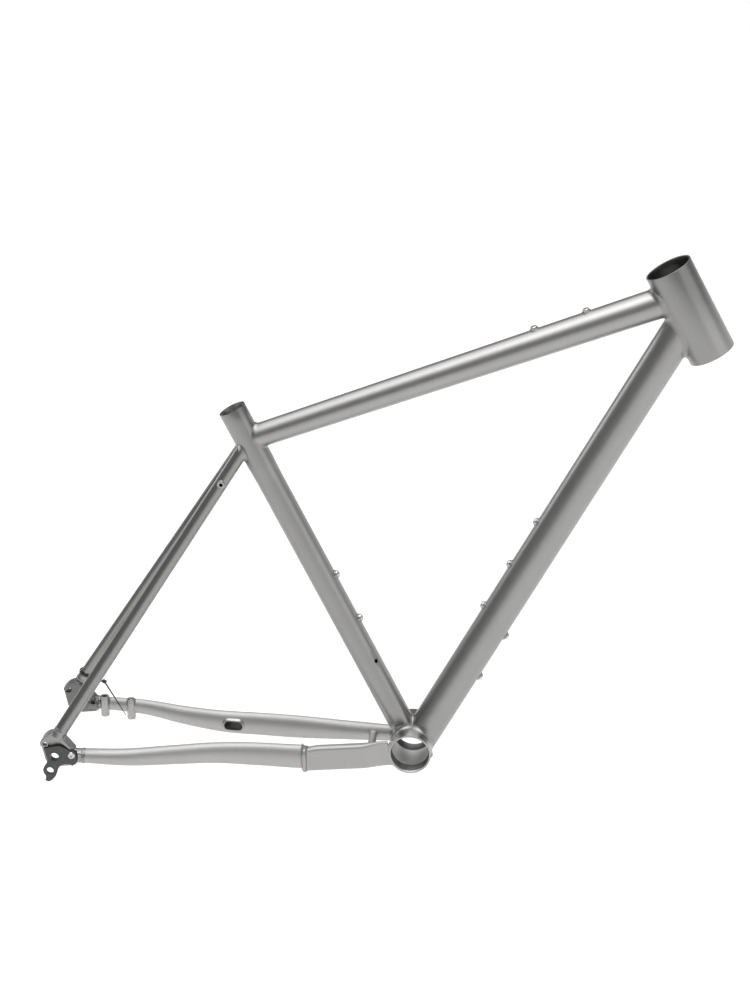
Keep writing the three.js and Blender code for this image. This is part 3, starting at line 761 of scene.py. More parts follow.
@dataclass
class Rod(Surface):
    """A round tube, straight or tapered."""

    start: Vector
    axis: Vector
    radius: float
    end_radius: float = 0.0
    length: float = 1.0

    def radius_at(self, along: float) -> float:
        """The radius at a distance from the start.

        Args:
            along: the distance from the start.

        Returns:
            The radius.
        """
        if not self.end_radius:
            return self.radius
        return self.radius + (self.end_radius - self.radius) * along / self.length

    def distance(self, point: Vector) -> float:
        """How far a point is outside the tube.

        Args:
            point: the place that is asked about.

        Returns:
            The distance, below 0 inside the tube.
        """
        offset = point - self.start
        along = offset.dot(self.axis)
        return (offset - self.axis * along).length - self.radius_at(along)

    def across(self, angle: float) -> Vector:
        """The outward direction at an angle round the axis."""
        side = self.axis.cross(LEFT if abs(self.axis.y) < 0.9 else UP).normalized()
        return side * math.cos(angle) + self.axis.cross(side) * math.sin(angle)

    def at(self, along: float, angle: float) -> Vector:
        """The point on the tube at a distance from the start and an angle."""
        return self.start + self.axis * along + self.across(angle) * self.radius_at(along)


@dataclass
class Drum(Surface):
    """A round tube with flat ends."""

    centre: Vector
    axis: Vector
    radius: float
    half: float

    def distance(self, point: Vector) -> float:
        """How far a point is outside the drum.

        Args:
            point: the place that is asked about.

        Returns:
            The distance, below 0 inside the drum.
        """
        offset = point - self.centre
        along = offset.dot(self.axis)
        side = (offset - self.axis * along).length - self.radius
        end = abs(along) - self.half
        if side > 0 and end > 0:
            return math.hypot(side, end)
        return max(side, end)


@dataclass
class Flat(Surface):
    """A flat face."""

    point: Vector
    outward: Vector

    def distance(self, point: Vector) -> float:
        """How far a point is in front of the face."""
        return (point - self.point).dot(self.outward)


def nearest(surfaces: Sequence[Surface], point: Vector) -> float:
    """The distance to the nearest of several surfaces."""
    return min(surface.distance(point) for surface in surfaces)


def blended_normal(surfaces: Sequence[Surface], point: Vector) -> Vector:
    """The outward direction at a point, rounded where two surfaces meet.

    Args:
        surfaces: the surfaces.
        point: the place that is asked about.

    Returns:
        The direction, one unit long.
    """
    total = Vector((0, 0, 0))
    for surface in surfaces:
        weight = 1 / (max(surface.distance(point), 0) + 0.6) ** 3
        total += surface.normal(point) * weight
    return total.normalized()


def meet(base: Vector, direction: Vector, surfaces: Sequence[Surface], limit: float) -> float:
    """How far a line runs before it reaches a surface.

    Args:
        base: where it starts.
        direction: where it runs.
        surfaces: what it may reach.
        limit: the furthest that it runs.

    Returns:
        The distance.
    """
    run = 0.0
    for _ in range(80):
        gap = nearest(surfaces, base + direction * run)
        run += gap * 0.95
        if abs(gap) < 0.002 or run > limit:
            break
    return min(run, limit)


@dataclass(frozen=True)
class Line:
    """One line along a tube's surface towards a joint."""

    base: Vector
    direction: Vector
    outward: Vector


def line_end(line: Line, surfaces: Sequence[Surface], limit: float) -> Vector:
    """Where a line ends: on the first surface that it reaches, or at its limit."""
    run = meet(line.base, line.direction, surfaces, limit) if surfaces else limit
    return line.base + line.direction * run


def eased(share: float) -> float:
    """A share, kept between 0 and 1, that starts and stops gently."""
    share = min(max(share, 0.0), 1.0)
    return share * share * (3 - 2 * share)


def edge_height(edge: tuple, x: float) -> float:
    """The height of a straight edge at a place along X; the edge is two pairs of X and Z."""
    (rear, low), (front, high) = edge
    return low + (high - low) * (x - rear) / (front - rear)


@dataclass
class Fillet:
    """A weld bead that fills the corner between a tube and what it meets."""

    name: str
    lines: Callable[[float], Line]
    surfaces: Sequence[Surface]
    leg: float = 6.0
    limit: float = 1e4
    ripple: float = 0.03
    pitch: float = 2.6
    steps: int = 220
    convex: float = 0.07
    stops: Sequence[Surface] = ()
    finish: WeldTitanium = WELD
    sink: float = 0.05
    arc: int = 8

    def build(self) -> bpy.types.Object:
        """Builds the bead and dresses it.

        Returns:
            The bead.
        """
        sections = [self._section(i / self.steps) for i in range(self.steps)]
        sections.append(sections[0])
        length = sum((a[1] - b[1]).length for a, b in zip(sections, sections[1:]))
        ripples = max(8, round(length / self.pitch))
        last = self.arc + 1

        def place(u: float, v: float) -> Vector:
            """The bead's surface, with its ripples.

            Args:
                u: the share of the way round.
                v: the share of the way along.

            Returns:
                The point.
            """
            section = sections[round(u * self.steps)]
            step = round(v * (last + 1)) % (last + 1)
            if step == last:
                return section[4]
            share = step / self.arc
            foot, corner, far, lift = section[0], section[1], section[2], section[3]
            point = foot.lerp(corner, share).lerp(corner.lerp(far, share), share)
            bow = 4 * share * (1 - share)
            phase = TURN * (u * ripples - 0.3 * bow)
            return point + lift * (self.ripple * bow * math.sin(phase))

        piece = Bench.skin(self.name, self.steps, last + 1, place)
        centre = sum((s[1] for s in sections[:-1]), Vector()) / self.steps
        return Bench.finish(piece, self.finish, LEFT, centre, sharp=60)

    def _section(self, share: float) -> tuple:
        """Works out the bead's section at one place.

        Args:
            share: the share of the way round.

        Returns:
            Its near foot, its corner, its far foot, the outward direction and its root.
        """
        line = self.lines(share)
        run = meet(line.base, line.direction, [*self.surfaces, *self.stops], self.limit)
        corner = line.base + line.direction * run
        other = blended_normal(self.surfaces, corner)
        spread = line.outward - other * line.outward.dot(other)
        spread = spread.normalized() if spread.length > 0.05 else line.outward
        near = corner - line.direction * self.leg - line.outward * self.sink
        far = corner + spread * self.leg
        for _ in range(4):
            far -= blended_normal(self.surfaces, far) * (nearest(self.surfaces, far) + self.sink)
        lift = (line.outward + other).normalized()
        control = corner.lerp((near + far) / 2, self.convex * 2)
        root = corner - lift * ROOT
        return near, control, far, lift, root


def rod_lines(rod: Rod, base: float, forward: bool) -> Callable[[float], Line]:
    """Lines along a round tube, from a place on it towards one of its ends.

    Args:
        rod: the tube.
        base: how far along it the lines start.
        forward: True if they run away from its start.

    Returns:
        A function of the share of a turn.
    """
    def line(share: float) -> Line:
        """The line at a share of a turn.

        Args:
            share: the share of a turn.

        Returns:
            The line.
        """
        angle = share * TURN
        here = rod.at(base, angle)
        ahead = rod.at(base + (1 if forward else -1), angle)
        return Line(here, (ahead - here).normalized(), rod.across(angle))
    return line


def tube(
    name: str, rod: Rod, back: Sequence[Surface], front: Sequence[Surface], middle: float,
    span: tuple, around: int = 96, along: int = 24,
) -> bpy.types.Object:
    """An open tube, mitred to what it meets at both ends.

    Args:
        name: the piece's name.
        rod: its shape.
        back: what it meets towards its start.
        front: what it meets towards its end.
        middle: a distance along it that is clear of both.
        span: the distances that its ends reach if they meet nothing.
        around: faces round it.
        along: faces along it.

    Returns:
        The tube, without a wall.
    """
    def tips(forward: bool, surfaces: Sequence[Surface], limit: float) -> list:
        """Where the tube's lines end on one side."""
        lines = rod_lines(rod, middle, forward)
        return [line_end(lines(i / around), surfaces, limit) for i in range(around)]

    low, high = tips(False, back, middle - span[0]), tips(True, front, span[1] - middle)

    def place(u: float, v: float) -> Vector:
        """The point at u round the tube and v along it."""
        index = round(u * around) % around
        return low[index].lerp(high[index], v)

    return Bench.skin(name, around, along, place)


def bead(
    name: str, centre: Vector, axis: Vector, wide: float, tall: float, half: float = 2.4,
) -> bpy.types.Object:
    """A low ring of weld metal round a butt joint.

    Args:
        name: the piece's name.
        centre: the middle of the joint.
        axis: the direction of the two parts that are joined.
        wide: half of their width.
        tall: half of their height.
        half: half of the bead's width.

    Returns:
        The bead.
    """
    side = axis.cross(UP).normalized()
    up = side.cross(axis)
    steps, arc, proud = 160, 8, 0.55
    ripples = round(math.pi * (wide + tall) / 2.4)

    def place(u: float, v: float) -> Vector:
        """The bead's surface, with its ripples.

        Args:
            u: the share of the way round.
            v: the share of the way along.

        Returns:
            The point.
        """
        angle = u * TURN
        out = (side * math.cos(angle) * tall + up * math.sin(angle) * wide).normalized()
        point = centre + side * math.cos(angle) * wide + up * math.sin(angle) * tall
        step = round(v * (arc + 2)) % (arc + 2)
        if step == arc + 1:
            return point - out * ROOT
        share = 2 * step / arc - 1
        bow = 1 - share * share
        height = proud * bow - 0.08 + 0.09 * bow * math.sin(u * ripples * TURN - bow)
        return point + axis * half * share + out * height

    piece = Bench.skin(name, steps, arc + 2, place)
    return Bench.finish(piece, WELD, axis, centre, sharp=60)


# ---------------------------------------------------------------- the frame's lines


@dataclass(frozen=True)
class Lines:
    """Where the frame's tubes run. Origin at the shell's centre, X forward, Y left, Z up."""

    seat_angle: float = 73.1
    head_angle: float = 71.2
    down_angle: float = 51.75
    top_angle: float = 11.3
    head_top: Vector = field(default_factory=lambda: Vector((390.5, 0, 566.5)))
    axle: Vector = field(default_factory=lambda: Vector((-430, 0, 72.5)))
    hub_half: float = 71.0

    @staticmethod
    def leaning(degrees: float) -> Vector:
        """Upwards and to the rear."""
        return Vector((-math.cos(math.radians(degrees)), 0, math.sin(math.radians(degrees))))

    @staticmethod
    def rising(degrees: float) -> Vector:
        """Upwards and to the front."""
        return Vector((math.cos(math.radians(degrees)), 0, math.sin(math.radians(degrees))))


LINES = Lines()
SEAT_LINE = Lines.leaning(LINES.seat_angle)
HEAD_LINE = Lines.leaning(LINES.head_angle)
DOWN_LINE = Lines.rising(LINES.down_angle)
TOP_LINE = Lines.rising(LINES.top_angle)
DOWN_UP = Vector((-DOWN_LINE.z, 0, DOWN_LINE.x))
TOP_UP = Vector((-TOP_LINE.z, 0, TOP_LINE.x))
SEAT_FRONT = Vector((SEAT_LINE.z, 0, -SEAT_LINE.x))

SHELL_DRUM = Drum(ORIGIN, LEFT, 26.2, 36.5)
SHELL_ROD = Rod(ORIGIN, LEFT, 26.2)
SEAT_ROD = Rod(ORIGIN, SEAT_LINE, 15.9)
HEAD_ROD = Rod(LINES.head_top, HEAD_LINE, 28.0)
DOWN_ROD = Rod(DOWN_UP * -6.5, DOWN_LINE, 21.0)
TOP_ROD = Rod(SEAT_LINE * 444.2, TOP_LINE, 14.5, 18.2, 530.0)


def stay_rod(sign: int) -> Rod:
    """The seat stay on one side.

    Args:
        sign: 1 on the left and -1 on the right.

    Returns:
        The stay's shape.
    """
    top = Vector((-127.9, sign * 10.0, 425.0))
    low = Vector((-416.1, sign * 72.2, 104.0))
    return Rod(low, (top - low).normalized(), 8.2, length=(top - low).length)


# ---------------------------------------------------------------- main triangle


@dataclass
class MainTriangle:
    """The head tube, the shell and the three main tubes."""

    down_wall: float = 1.2
    down_reach: float = 690.0
    down_middle: float = 300.0
    top_wall: float = 1.1
    top_middle: float = 200.0
    seat_wall: float = 1.0
    seat_middle: float = 100.0
    collar: float = 16.6
    collar_from: float = 385.0
    collar_full: float = 415.0
    seat_top: float = 486.5
    head_length: float = 116.0
    head_bore: float = 26.05
    head_relief: float = 26.6
    head_seat: float = 9.0
    shell_bore: float = 23.0
    shell_relief: float = 23.9
    shell_relief_half: float = 19.0
    shell_chamfer: float = 1.0
    thread_pitch: float = 1.0
    thread_depth: float = 0.62
    sleeve_bore: float = 13.6
    sleeve_outside: float = 14.75
    sleeve_length: float = 120.0
    sleeve_below: float = 0.8
    vent_along: float = 121.5
    vent_turn: float = 48.0
    vent_radius: float = 2.6

    def build(self) -> None:
        """Builds the pieces and the welds between them."""
        self._head_tube()
        self._shell()
        self._seat_tube()
        self._sleeve()
        down = tube(
            "down_tube_smooth", DOWN_ROD, [SHELL_DRUM, SEAT_ROD], [HEAD_ROD], self.down_middle,
            (0, self.down_reach),
        )
        Bench.hollow(down, self.down_wall)
        Bench.finish(down, DOWN_TUBE, DOWN_LINE, DOWN_ROD.start, ["down_tube"])
        top = tube(
            "top_tube_smooth", TOP_ROD, [SEAT_ROD], [HEAD_ROD, DOWN_ROD], self.top_middle,
            (0, TOP_ROD.length),
        )
        Bench.hollow(top, self.top_wall)
        Bench.finish(top, TOP_TUBE, TOP_LINE, TOP_ROD.start, ["top_tube"])
        welds = [
            ("seat_tube_shell", rod_lines(SEAT_ROD, 120, False), [SHELL_DRUM], 6.0),
            ("down_tube_shell", rod_lines(DOWN_ROD, 150, False), [SHELL_DRUM, SEAT_ROD], 6.0),
            ("down_tube_head", rod_lines(DOWN_ROD, 500, True), [HEAD_ROD], 6.5),
            ("top_tube_seat", rod_lines(TOP_ROD, 100, False), [SEAT_ROD], 5.5),
            ("top_tube_head", rod_lines(TOP_ROD, 350, True), [HEAD_ROD, DOWN_ROD], 6.0),
        ]
        for label, lines, surfaces, leg in welds:
            Fillet(f"weld_{label}", lines, surfaces, leg=leg).build()

    def _head_tube(self) -> None:
        """Turns the head tube with its two bearing seats."""
        low = -self.head_length
        profile = [
            (self.head_bore, 0), (HEAD_ROD.radius, 0),
            (HEAD_ROD.radius, low), (self.head_bore, low),
            (self.head_bore, low + self.head_seat), (self.head_relief, low + self.head_seat + 1),
            (self.head_relief, -self.head_seat - 1), (self.head_bore, -self.head_seat),
        ]
        piece = Bench.turned("head_tube_smooth", profile, LINES.head_top, HEAD_LINE, 144)
        Bench.round_edges(piece, 0.35, 3, 50)
        Bench.finish(piece, HEAD_TUBE, HEAD_LINE, LINES.head_top, ["head_tube"])

    def _shell(self) -> None:
        """Turns the shell, with a thread at each end of its bore."""
        half, chamfer, relief_half = SHELL_DRUM.half, self.shell_chamfer, self.shell_relief_half
        outside = [(SHELL_DRUM.radius, -half), (SHELL_DRUM.radius, half)]
        thread = []
        turns = int((half - chamfer - relief_half - 1) / self.thread_pitch)
        for i in range(turns):
            here = half - chamfer - i * self.thread_pitch
            thread.append((self.shell_bore, here))
            thread.append((self.shell_bore + self.thread_depth, here - self.thread_pitch / 2))
        right = [(self.shell_bore + chamfer, half), *thread, (self.shell_relief, relief_half)]
        left = [(radius, -height) for radius, height in reversed(right)]
        profile = outside + right + left
        piece = Bench.turned("bottom_bracket_shell_smooth", profile, ORIGIN, LEFT, 128)
        Bench.round_edges(piece, 0.4, 2, 80)
        Bench.finish(piece, MACHINED, LEFT, ORIGIN, ["bottom_bracket_shell"], sharp=40)
        limit, tip = self.shell_bore + 1.2, half - chamfer

        def in_bore(face: Vector) -> bool:
            """Tells whether a face is in the relieved middle of the bore."""
            return math.hypot(face.x, face.z) < limit and abs(face.y) <= relief_half

        def in_thread(face: Vector) -> bool:
            """Tells whether a face is in one of the threads."""
            return math.hypot(face.x, face.z) < limit and relief_half < abs(face.y) < tip

        # The middle of the bore is painted paler as light.
        redress(piece, BORE_PAINTED_LIGHT, LEFT, in_bore)
        # The threads are painted dark as shade in their grooves.
        redress(piece, THREAD_PAINTED_SHADE, LEFT, in_thread)

    def _seat_tube(self) -> None:
        """Builds the seat tube with its flared top and its vent hole."""
        around = 96
        lines = rod_lines(SEAT_ROD, self.seat_middle, False)
        low = []
        for i in range(around):
            line = lines(i / around)
            low.append(self.seat_middle - meet(line.base, line.direction, [SHELL_DRUM], 200))
        flare = self.collar_full - self.collar_from
        marks = [0.0, 60, 110, 150, 240, 320, self.collar_from]
        marks += [self.collar_from + flare * k / 6 for k in range(1, 7)]
        marks += [440, 470, self.seat_top]

        def place(u: float, v: float) -> Vector:
            """The tube's surface, with its flared top.

            Args:
                u: the share of the way round.
                v: the share of the way along.

            Returns:
                The point.
            """
            index = round(u * around) % around
            step = round(v * (len(marks) - 1))
            height = low[index] if step == 0 else marks[step]
            rise = eased((height - self.collar_from) / flare)
            radius = SEAT_ROD.radius + (self.collar - SEAT_ROD.radius) * rise
            return SEAT_LINE * height + SEAT_ROD.across(u * TURN) * radius

        piece = Bench.skin("seat_tube_smooth", around, len(marks) - 1, place)
        Bench.hollow(piece, self.seat_wall)
        vent = SEAT_LINE * self.vent_along
        turn = math.radians(self.vent_turn)
        outward = SEAT_FRONT * math.sin(turn) - LEFT * math.cos(turn)
        Bench.cut(piece, Bench.rod("vent_cutter", vent, vent + outward * 20, self.vent_radius, 32))
        Bench.round_edges(piece, 0.22, 2, 60)
        Bench.finish(piece, SEAT_TUBE, SEAT_LINE, ORIGIN, ["seat_tube"])

    def _sleeve(self) -> None:
        """Turns the sleeve that takes the seat post."""
        top = self.seat_top - self.sleeve_below
        low = top - self.sleeve_length
        profile = [
            (self.sleeve_bore, low), (self.sleeve_outside, low),
            (self.sleeve_outside, top), (self.sleeve_bore, top),
        ]
        piece = Bench.turned("seatpost_sleeve_smooth", profile, ORIGIN, SEAT_LINE, 112)
        Bench.round_edges(piece, 0.25, 2, 50)
        Bench.finish(piece, MACHINED, SEAT_LINE, ORIGIN, ["seatpost_sleeve"])


# ---------------------------------------------------------------- chain stays


@dataclass
class ChainStay(Surface):
    """A curved, tall oval stay."""

    sign: int
    bends: Sequence[tuple]
    half_wide: Sequence[float]
    half_tall: Sequence[float]
    rings: int = 60
    stations: list = field(default_factory=list)

    def __post_init__(self) -> None:
        """Works out the stations along the stay."""
        points = [Vector((x, self.sign * y, z)) for x, y, z in self.bends]
        for i in range(self.rings + 1):
            share = i / self.rings
            centre = self._centre(points, share)
            ahead = self._centre(points, min(share + 0.002, 1.0))
            behind = self._centre(points, max(share - 0.002, 0.0))
            forward = (ahead - behind).normalized()
            side = forward.cross(UP).normalized()
            tall, wide = self._half(self.half_tall, share), self._half(self.half_wide, share)
            self.stations.append((centre, forward, side, side.cross(forward), tall, wide))

    @staticmethod
    def _centre(points: Sequence[Vector], share: float) -> Vector:
        """A point on the smooth curve through the bends.

        Args:
            points: the bends.
            share: the share of the way along.

        Returns:
            The point.
        """
        place = share * (len(points) - 1)
        i = min(int(place), len(points) - 2)
        w = place - i
        p1, p2 = points[i], points[i + 1]
        p0 = points[i - 1] if i > 0 else p1 * 2 - p2
        p3 = points[i + 2] if i + 2 < len(points) else p2 * 2 - p1
        d0, d1, d2 = ((a - b).length ** 0.5 for a, b in ((p1, p0), (p2, p1), (p3, p2)))
        t1 = ((p1 - p0) / d0 - (p2 - p0) / (d0 + d1) + (p2 - p1) / d1) * d1
        t2 = ((p2 - p1) / d1 - (p3 - p1) / (d1 + d2) + (p3 - p2) / d2) * d1
        return (
            p1 + t1 * w + (p1 * -3 + p2 * 3 - t1 * 2 - t2) * w ** 2
            + (p1 * 2 - p2 * 2 + t1 + t2) * w ** 3
        )

    @staticmethod
    def _half(values: Sequence[float], share: float) -> float:
        """Half of the stay's height or width at a share of its length.

        Args:
            values: the halves at even steps along the stay.
            share: the share of the way along.

        Returns:
            The half height or half width.
        """
        place = share * (len(values) - 1)
        i = min(int(place), len(values) - 2)
        w = place - i
        a, b = values[i], values[i + 1]
        before = values[max(i - 1, 0)]
        after = values[min(i + 2, len(values) - 1)]
        t1, t2 = (b - before) / 2, (after - a) / 2
        square, cube = -3 * a + 3 * b - 2 * t1 - t2, 2 * a - 2 * b + t1 + t2
        return a + t1 * w + square * w ** 2 + cube * w ** 3

    def at(self, x: float) -> tuple:
        """The station at a place along X.

        Args:
            x: the place.

        Returns:
            The centre, forward, side and up directions, half height and half width.
        """
        first = self.stations[0]
        for second in self.stations[1:]:
            if second[0].x >= x or second is self.stations[-1]:
                w = (x - first[0].x) / (second[0].x - first[0].x)
                blend = tuple(first[k].lerp(second[k], w) for k in range(4))
                return (*blend, *(first[k] + (second[k] - first[k]) * w for k in (4, 5)))
            first = second
        return first

    def distance(self, point: Vector) -> float:
        """About how far a point is outside the stay.

        Args:
            point: the place that is asked about.

        Returns:
            The distance, below 0 inside the stay.
        """
        centre, _, side, up, tall, wide = self.at(point.x)
        offset = point - centre
        across, high = offset.dot(side), offset.dot(up)
        spread = math.hypot(across / wide, high / tall)
        return math.hypot(across, high) * (1 - 1 / max(spread, 0.05))

    def ring(self, station: tuple, angle: float) -> tuple:
        """The point and the outward direction at an angle round a station.

        Args:
            station: the station.
            angle: the angle.

        Returns:
            The point and the direction.
        """
        centre, _, side, up, tall, wide = station
        point = centre + side * wide * math.cos(angle) + up * tall * math.sin(angle)
        outward = (side * tall * math.cos(angle) + up * wide * math.sin(angle)).normalized()
        return point, outward

    def front_lines(self, back: int) -> Callable[[float], Line]:
        """Lines from a station near the front end towards what the stay meets.

        Args:
            back: how many stations before the end the lines start.

        Returns:
            A function of the share of a turn.
        """
        station = self.stations[-1 - back]

        def line(share: float) -> Line:
            """The line at a share of a turn.

            Args:
                share: the share of a turn.

            Returns:
                The line.
            """
            point, outward = self.ring(station, share * TURN)
            ahead = self.ring(self.stations[-back], share * TURN)[0]
            return Line(point, (ahead - point).normalized(), outward)
        return line

    def skin(
        self, name: str, front: Sequence[Surface], back: int, limit: float,
    ) -> bpy.types.Object:
        """The stay's outside, mitred at its front end.

        Args:
            name: the piece's name.
            front: what it meets.
            back: how many stations before the end the mitred part starts.
            limit: the furthest that part reaches.

        Returns:
            The open tube.
        """
        around = 72
        lines = self.front_lines(back)
        tips = [line_end(lines(i / around), front, limit) for i in range(around)]
        rings = self.rings - back

        def place(u: float, v: float) -> Vector:
            """The stay's surface, up to its mitred tips.

            Args:
                u: the share of the way round.
                v: the share of the way along.

            Returns:
                The point.
            """
            step = round(v * (rings + 1))
            if step > rings:
                return tips[round(u * around) % around]
            return self.ring(self.stations[step], u * TURN)[0]

        return Bench.skin(name, around, rings + 1, place)


BENDS = [
    (-343, 67.5, 55.5), (-291, 53.5, 44.6), (-240, 42.3, 35.3), (-190, 39.8, 26.3),
    (-140, 39, 16.3),
]
LEFT_STAY = ChainStay(
    1, [(-402, 71, 68), *BENDS, (-83, 36.5, 6.2), (-18, 33, -4.5)],
    [6.4, 7, 8.7, 9, 9, 9, 9, 9], [8.4, 10, 12.4, 14.6, 15.2, 15, 12.6, 10.2],
)
RIGHT_STAY = ChainStay(
    -1, [(-395.6, 71, 66), *BENDS, (-122, 38.6, 13.2)],
    [9] * 7, [9.2, 11, 12.4, 13.6, 15.2, 15.8, 15.8],
)
PLATE_LINE = Vector((math.cos(math.radians(9.5)), 0, -math.sin(math.radians(9.5))))
PLATE_MIDDLE = Vector((-130, -39, 11.4))


@dataclass
class DriveSide:
    """The yoke and the plate that joins it to the right chain stay."""

    stay_wall: float = 1.2
    thick: float = 5.6
    plate_half: float = 9.8
    plate_top: float = 28.0
    plate_low: float = -5.2
    plate_power: float = 3.4
    corner: float = 4.6
    yoke_rear: float = -116.0
    yoke_front: float = -34.0
    yoke_outer: float = -43.5
    yoke_inner: float = -31.5
    splay: float = 0.03
    splay_from: float = -26.0
    narrowing: float = 7.4
    narrow_from: float = -60.0
    narrow_run: float = 30.0
    top_edge: tuple = ((-112.6, 28.0), (-10.0, 19.0))
    low_edge: tuple = ((-132.2, -3.0), (-28.0, -12.4))
    shoulder_run: float = 14.0
    shoulder_drop: float = 2.4
    plate_weld_from: float = -110.0

    def build(self) -> None:
        """Builds the right stay, the plate, the yoke and their welds."""
        rear_face = Flat(PLATE_MIDDLE - PLATE_LINE * self.thick / 2, -PLATE_LINE)
        front_face = Flat(PLATE_MIDDLE + PLATE_LINE * self.thick / 2, PLATE_LINE)
        stay = RIGHT_STAY.skin("chain_stay_right_smooth", [rear_face], 5, 60)
        Bench.hollow(stay, self.stay_wall)
        middle = RIGHT_STAY.stations[RIGHT_STAY.rings // 2][0]
        Bench.finish(stay, CHAIN_STAYS, STAY_GRAIN, middle, ["chain_stay_right"])
        self._plate()
        self._yoke(front_face)
        # The welds on this side take the paler weld grey, painted light like the yoke.
        Fillet(
            "weld_chain_stay_right_plate", RIGHT_STAY.front_lines(5), [rear_face], leg=2.4,
            finish=PALE_WELD,
        ).build()
        Fillet(
            "weld_yoke_shell", lambda share: self._edge_line(share, self.yoke_front), [SHELL_DRUM],
            leg=3.0, limit=30, finish=PALE_WELD,
        ).build()
        Fillet(
            "weld_yoke_plate", lambda share: self._edge_line(share, self.plate_weld_from, -1),
            [front_face], leg=2.2, limit=30, finish=PALE_WELD,
        ).build()

    def _plate(self) -> None:
        """A rounded plate square to the stay."""
        half_height = (self.plate_top - self.plate_low) / 2
        rise = (self.plate_top + self.plate_low) / 2 - PLATE_MIDDLE.z
        up = PLATE_LINE.cross(LEFT)
        centre = PLATE_MIDDLE + up * rise
        thick = self.thick / 2
        around, across = 96, 12

        def place(u: float, v: float) -> Vector:
            """The plate's surface, with its rounded rim.

            Args:
                u: the share of the way round.
                v: the share of the way along.

            Returns:
                The point.
            """
            angle = u * TURN
            out = superellipse(angle, self.plate_half, half_height, self.plate_power)
            step = round(v * across)
            turn = (step / across - 0.5) * math.pi
            shift = thick * math.sin(turn)
            pull = 1 - 0.13 * (1 - math.cos(turn)) if 0 < step < across else 0.0
            return centre + PLATE_LINE * shift + (LEFT * out[0] + up * out[1]) * pull

        piece = Bench.skin("yoke_end_plate_smooth", around, across, place)
        Bench.finish(piece, YOKE, UP, centre, ["yoke_end_plate"], sharp=50)

    def _span(self, x: float) -> tuple:
        """The yoke's low and high limits in Y and Z at a place along X.

        Args:
            x: the place.

        Returns:
            The outer and inner Y, and the low and high Z.
        """
        splay = self.splay * (x - self.splay_from)
        narrowing = self.narrowing * eased((x - self.narrow_from) / self.narrow_run)
        past = max(0.0, (self.top_edge[0][0] - x) / self.shoulder_run)
        high = edge_height(self.top_edge, x) - past * self.shoulder_drop
        low = edge_height(self.low_edge, x)
        return self.yoke_outer + splay + narrowing, self.yoke_inner + splay, low, high

    def _edge(self, x: float, share: float) -> tuple:
        """A point on the yoke's rounded section and the outward direction there.

        Args:
            x: the place along X.
            share: the share of the way round the section.

        Returns:
            The point and the direction.
        """
        outer, inner, low, high = self._span(x)
        half_y, half_z = (inner - outer) / 2, (high - low) / 2
        middle = Vector((x, (outer + inner) / 2, (low + high) / 2))
        y, z, ny, nz = rounded(share, half_y, half_z, min(self.corner, half_y * 0.85))
        return middle + Vector((0, y, z)), Vector((0, ny, nz))

    def _edge_line(self, share: float, x: float, sign: int = 1) -> Line:
        """A line along the yoke's surface, forward or back.

        Args:
            share: the share of the way round the section.
            x: where the line starts.
            sign: 1 runs forward and -1 runs back.

        Returns:
            The line.
        """
        here, outward = self._edge(x, share)
        ahead = self._edge(x + sign * 8, share)[0]
        return Line(here, (ahead - here).normalized(), outward)

    def _yoke(self, front_face: Flat) -> None:
        """The thick plate between the end plate and the shell.

        Args:
            front_face: the face of the end plate that it starts on.
        """
        around, along = 120, 34
        start, end = self.yoke_rear, self.yoke_front
        rear, nose = [], []
        for i in range(around):
            rear.append(line_end(self._edge_line(i / around, start, -1), [front_face], 20))
            nose.append(line_end(self._edge_line(i / around, end), [SHELL_DRUM], 9))

        def place(u: float, v: float) -> Vector:
            """The yoke's surface, closed at both ends.

            Args:
                u: the share of the way round.
                v: the share of the way along.

            Returns:
                The point.
            """
            index = round(u * around) % around
            step = round(v * (along + 4))
            if step <= 1:
                ring = rear
            elif step >= along + 3:
                ring = nose
            else:
                share = (step - 2) / along
                return self._edge(start + (end - start) * share, index / around)[0]
            if step in (0, along + 4):
                return sum(ring, Vector()) / around
            return ring[index]

        piece = Bench.skin("chain_stay_yoke_smooth", around, along + 4, place)
        centre = Vector((-78, -38, 8))
        Bench.finish(piece, YOKE, FORWARD, centre, ["chain_stay_yoke"], sharp=40)


def superellipse(angle: float, wide: float, tall: float, power: float) -> tuple:
    """A point on an oval with square shoulders.

    Args:
        angle: the angle round it.
        wide: half of its width.
        tall: half of its height.
        power: 2 is an ellipse, and more is squarer.

    Returns:
        The point's two coordinates.
    """
    c, s = math.cos(angle), math.sin(angle)
    return (
        wide * math.copysign(abs(c) ** (2 / power), c),
        tall * math.copysign(abs(s) ** (2 / power), s),
    )


def rounded(share: float, half_y: float, half_z: float, corner: float) -> tuple:
    """A point on a rectangle with rounded corners.

    Args:
        share: how far round it is, from 0 to 1.
        half_y: half of its width.
        half_z: half of its height.
        corner: the radius of its corners.

    Returns:
        The point's Y and Z, and the outward direction's Y and Z.
    """
    flat_y, flat_z = half_y - corner, half_z - corner
    arc = math.pi / 2 * corner
    sides = [2 * flat_z, arc, 2 * flat_y, arc] * 2
    run = share % 1 * sum(sides)
    corners = [(1, 1), (-1, 1), (-1, -1), (1, -1)]
    starts = [(half_y, -flat_z, 0, 1, 1, 0), (flat_y, half_z, -1, 0, 0, 1),
              (-half_y, flat_z, 0, -1, -1, 0), (-flat_y, -half_z, 1, 0, 0, -1)]
    for i, length in enumerate(sides):
        if run > length:
            run -= length
            continue
        if i % 2 == 0:
            y, z, dy, dz, ny, nz = starts[i // 2]
            return y + dy * run, z + dz * run, ny, nz
        sy, sz = corners[i // 2]
        angle = (i // 2) * math.pi / 2 + run / corner
        ny, nz = math.cos(angle), math.sin(angle)
        return sy * flat_y + ny * corner, sz * flat_z + nz * corner, ny, nz
    return half_y, -flat_z, 1, 0


# ---------------------------------------------------------------- rear triangle


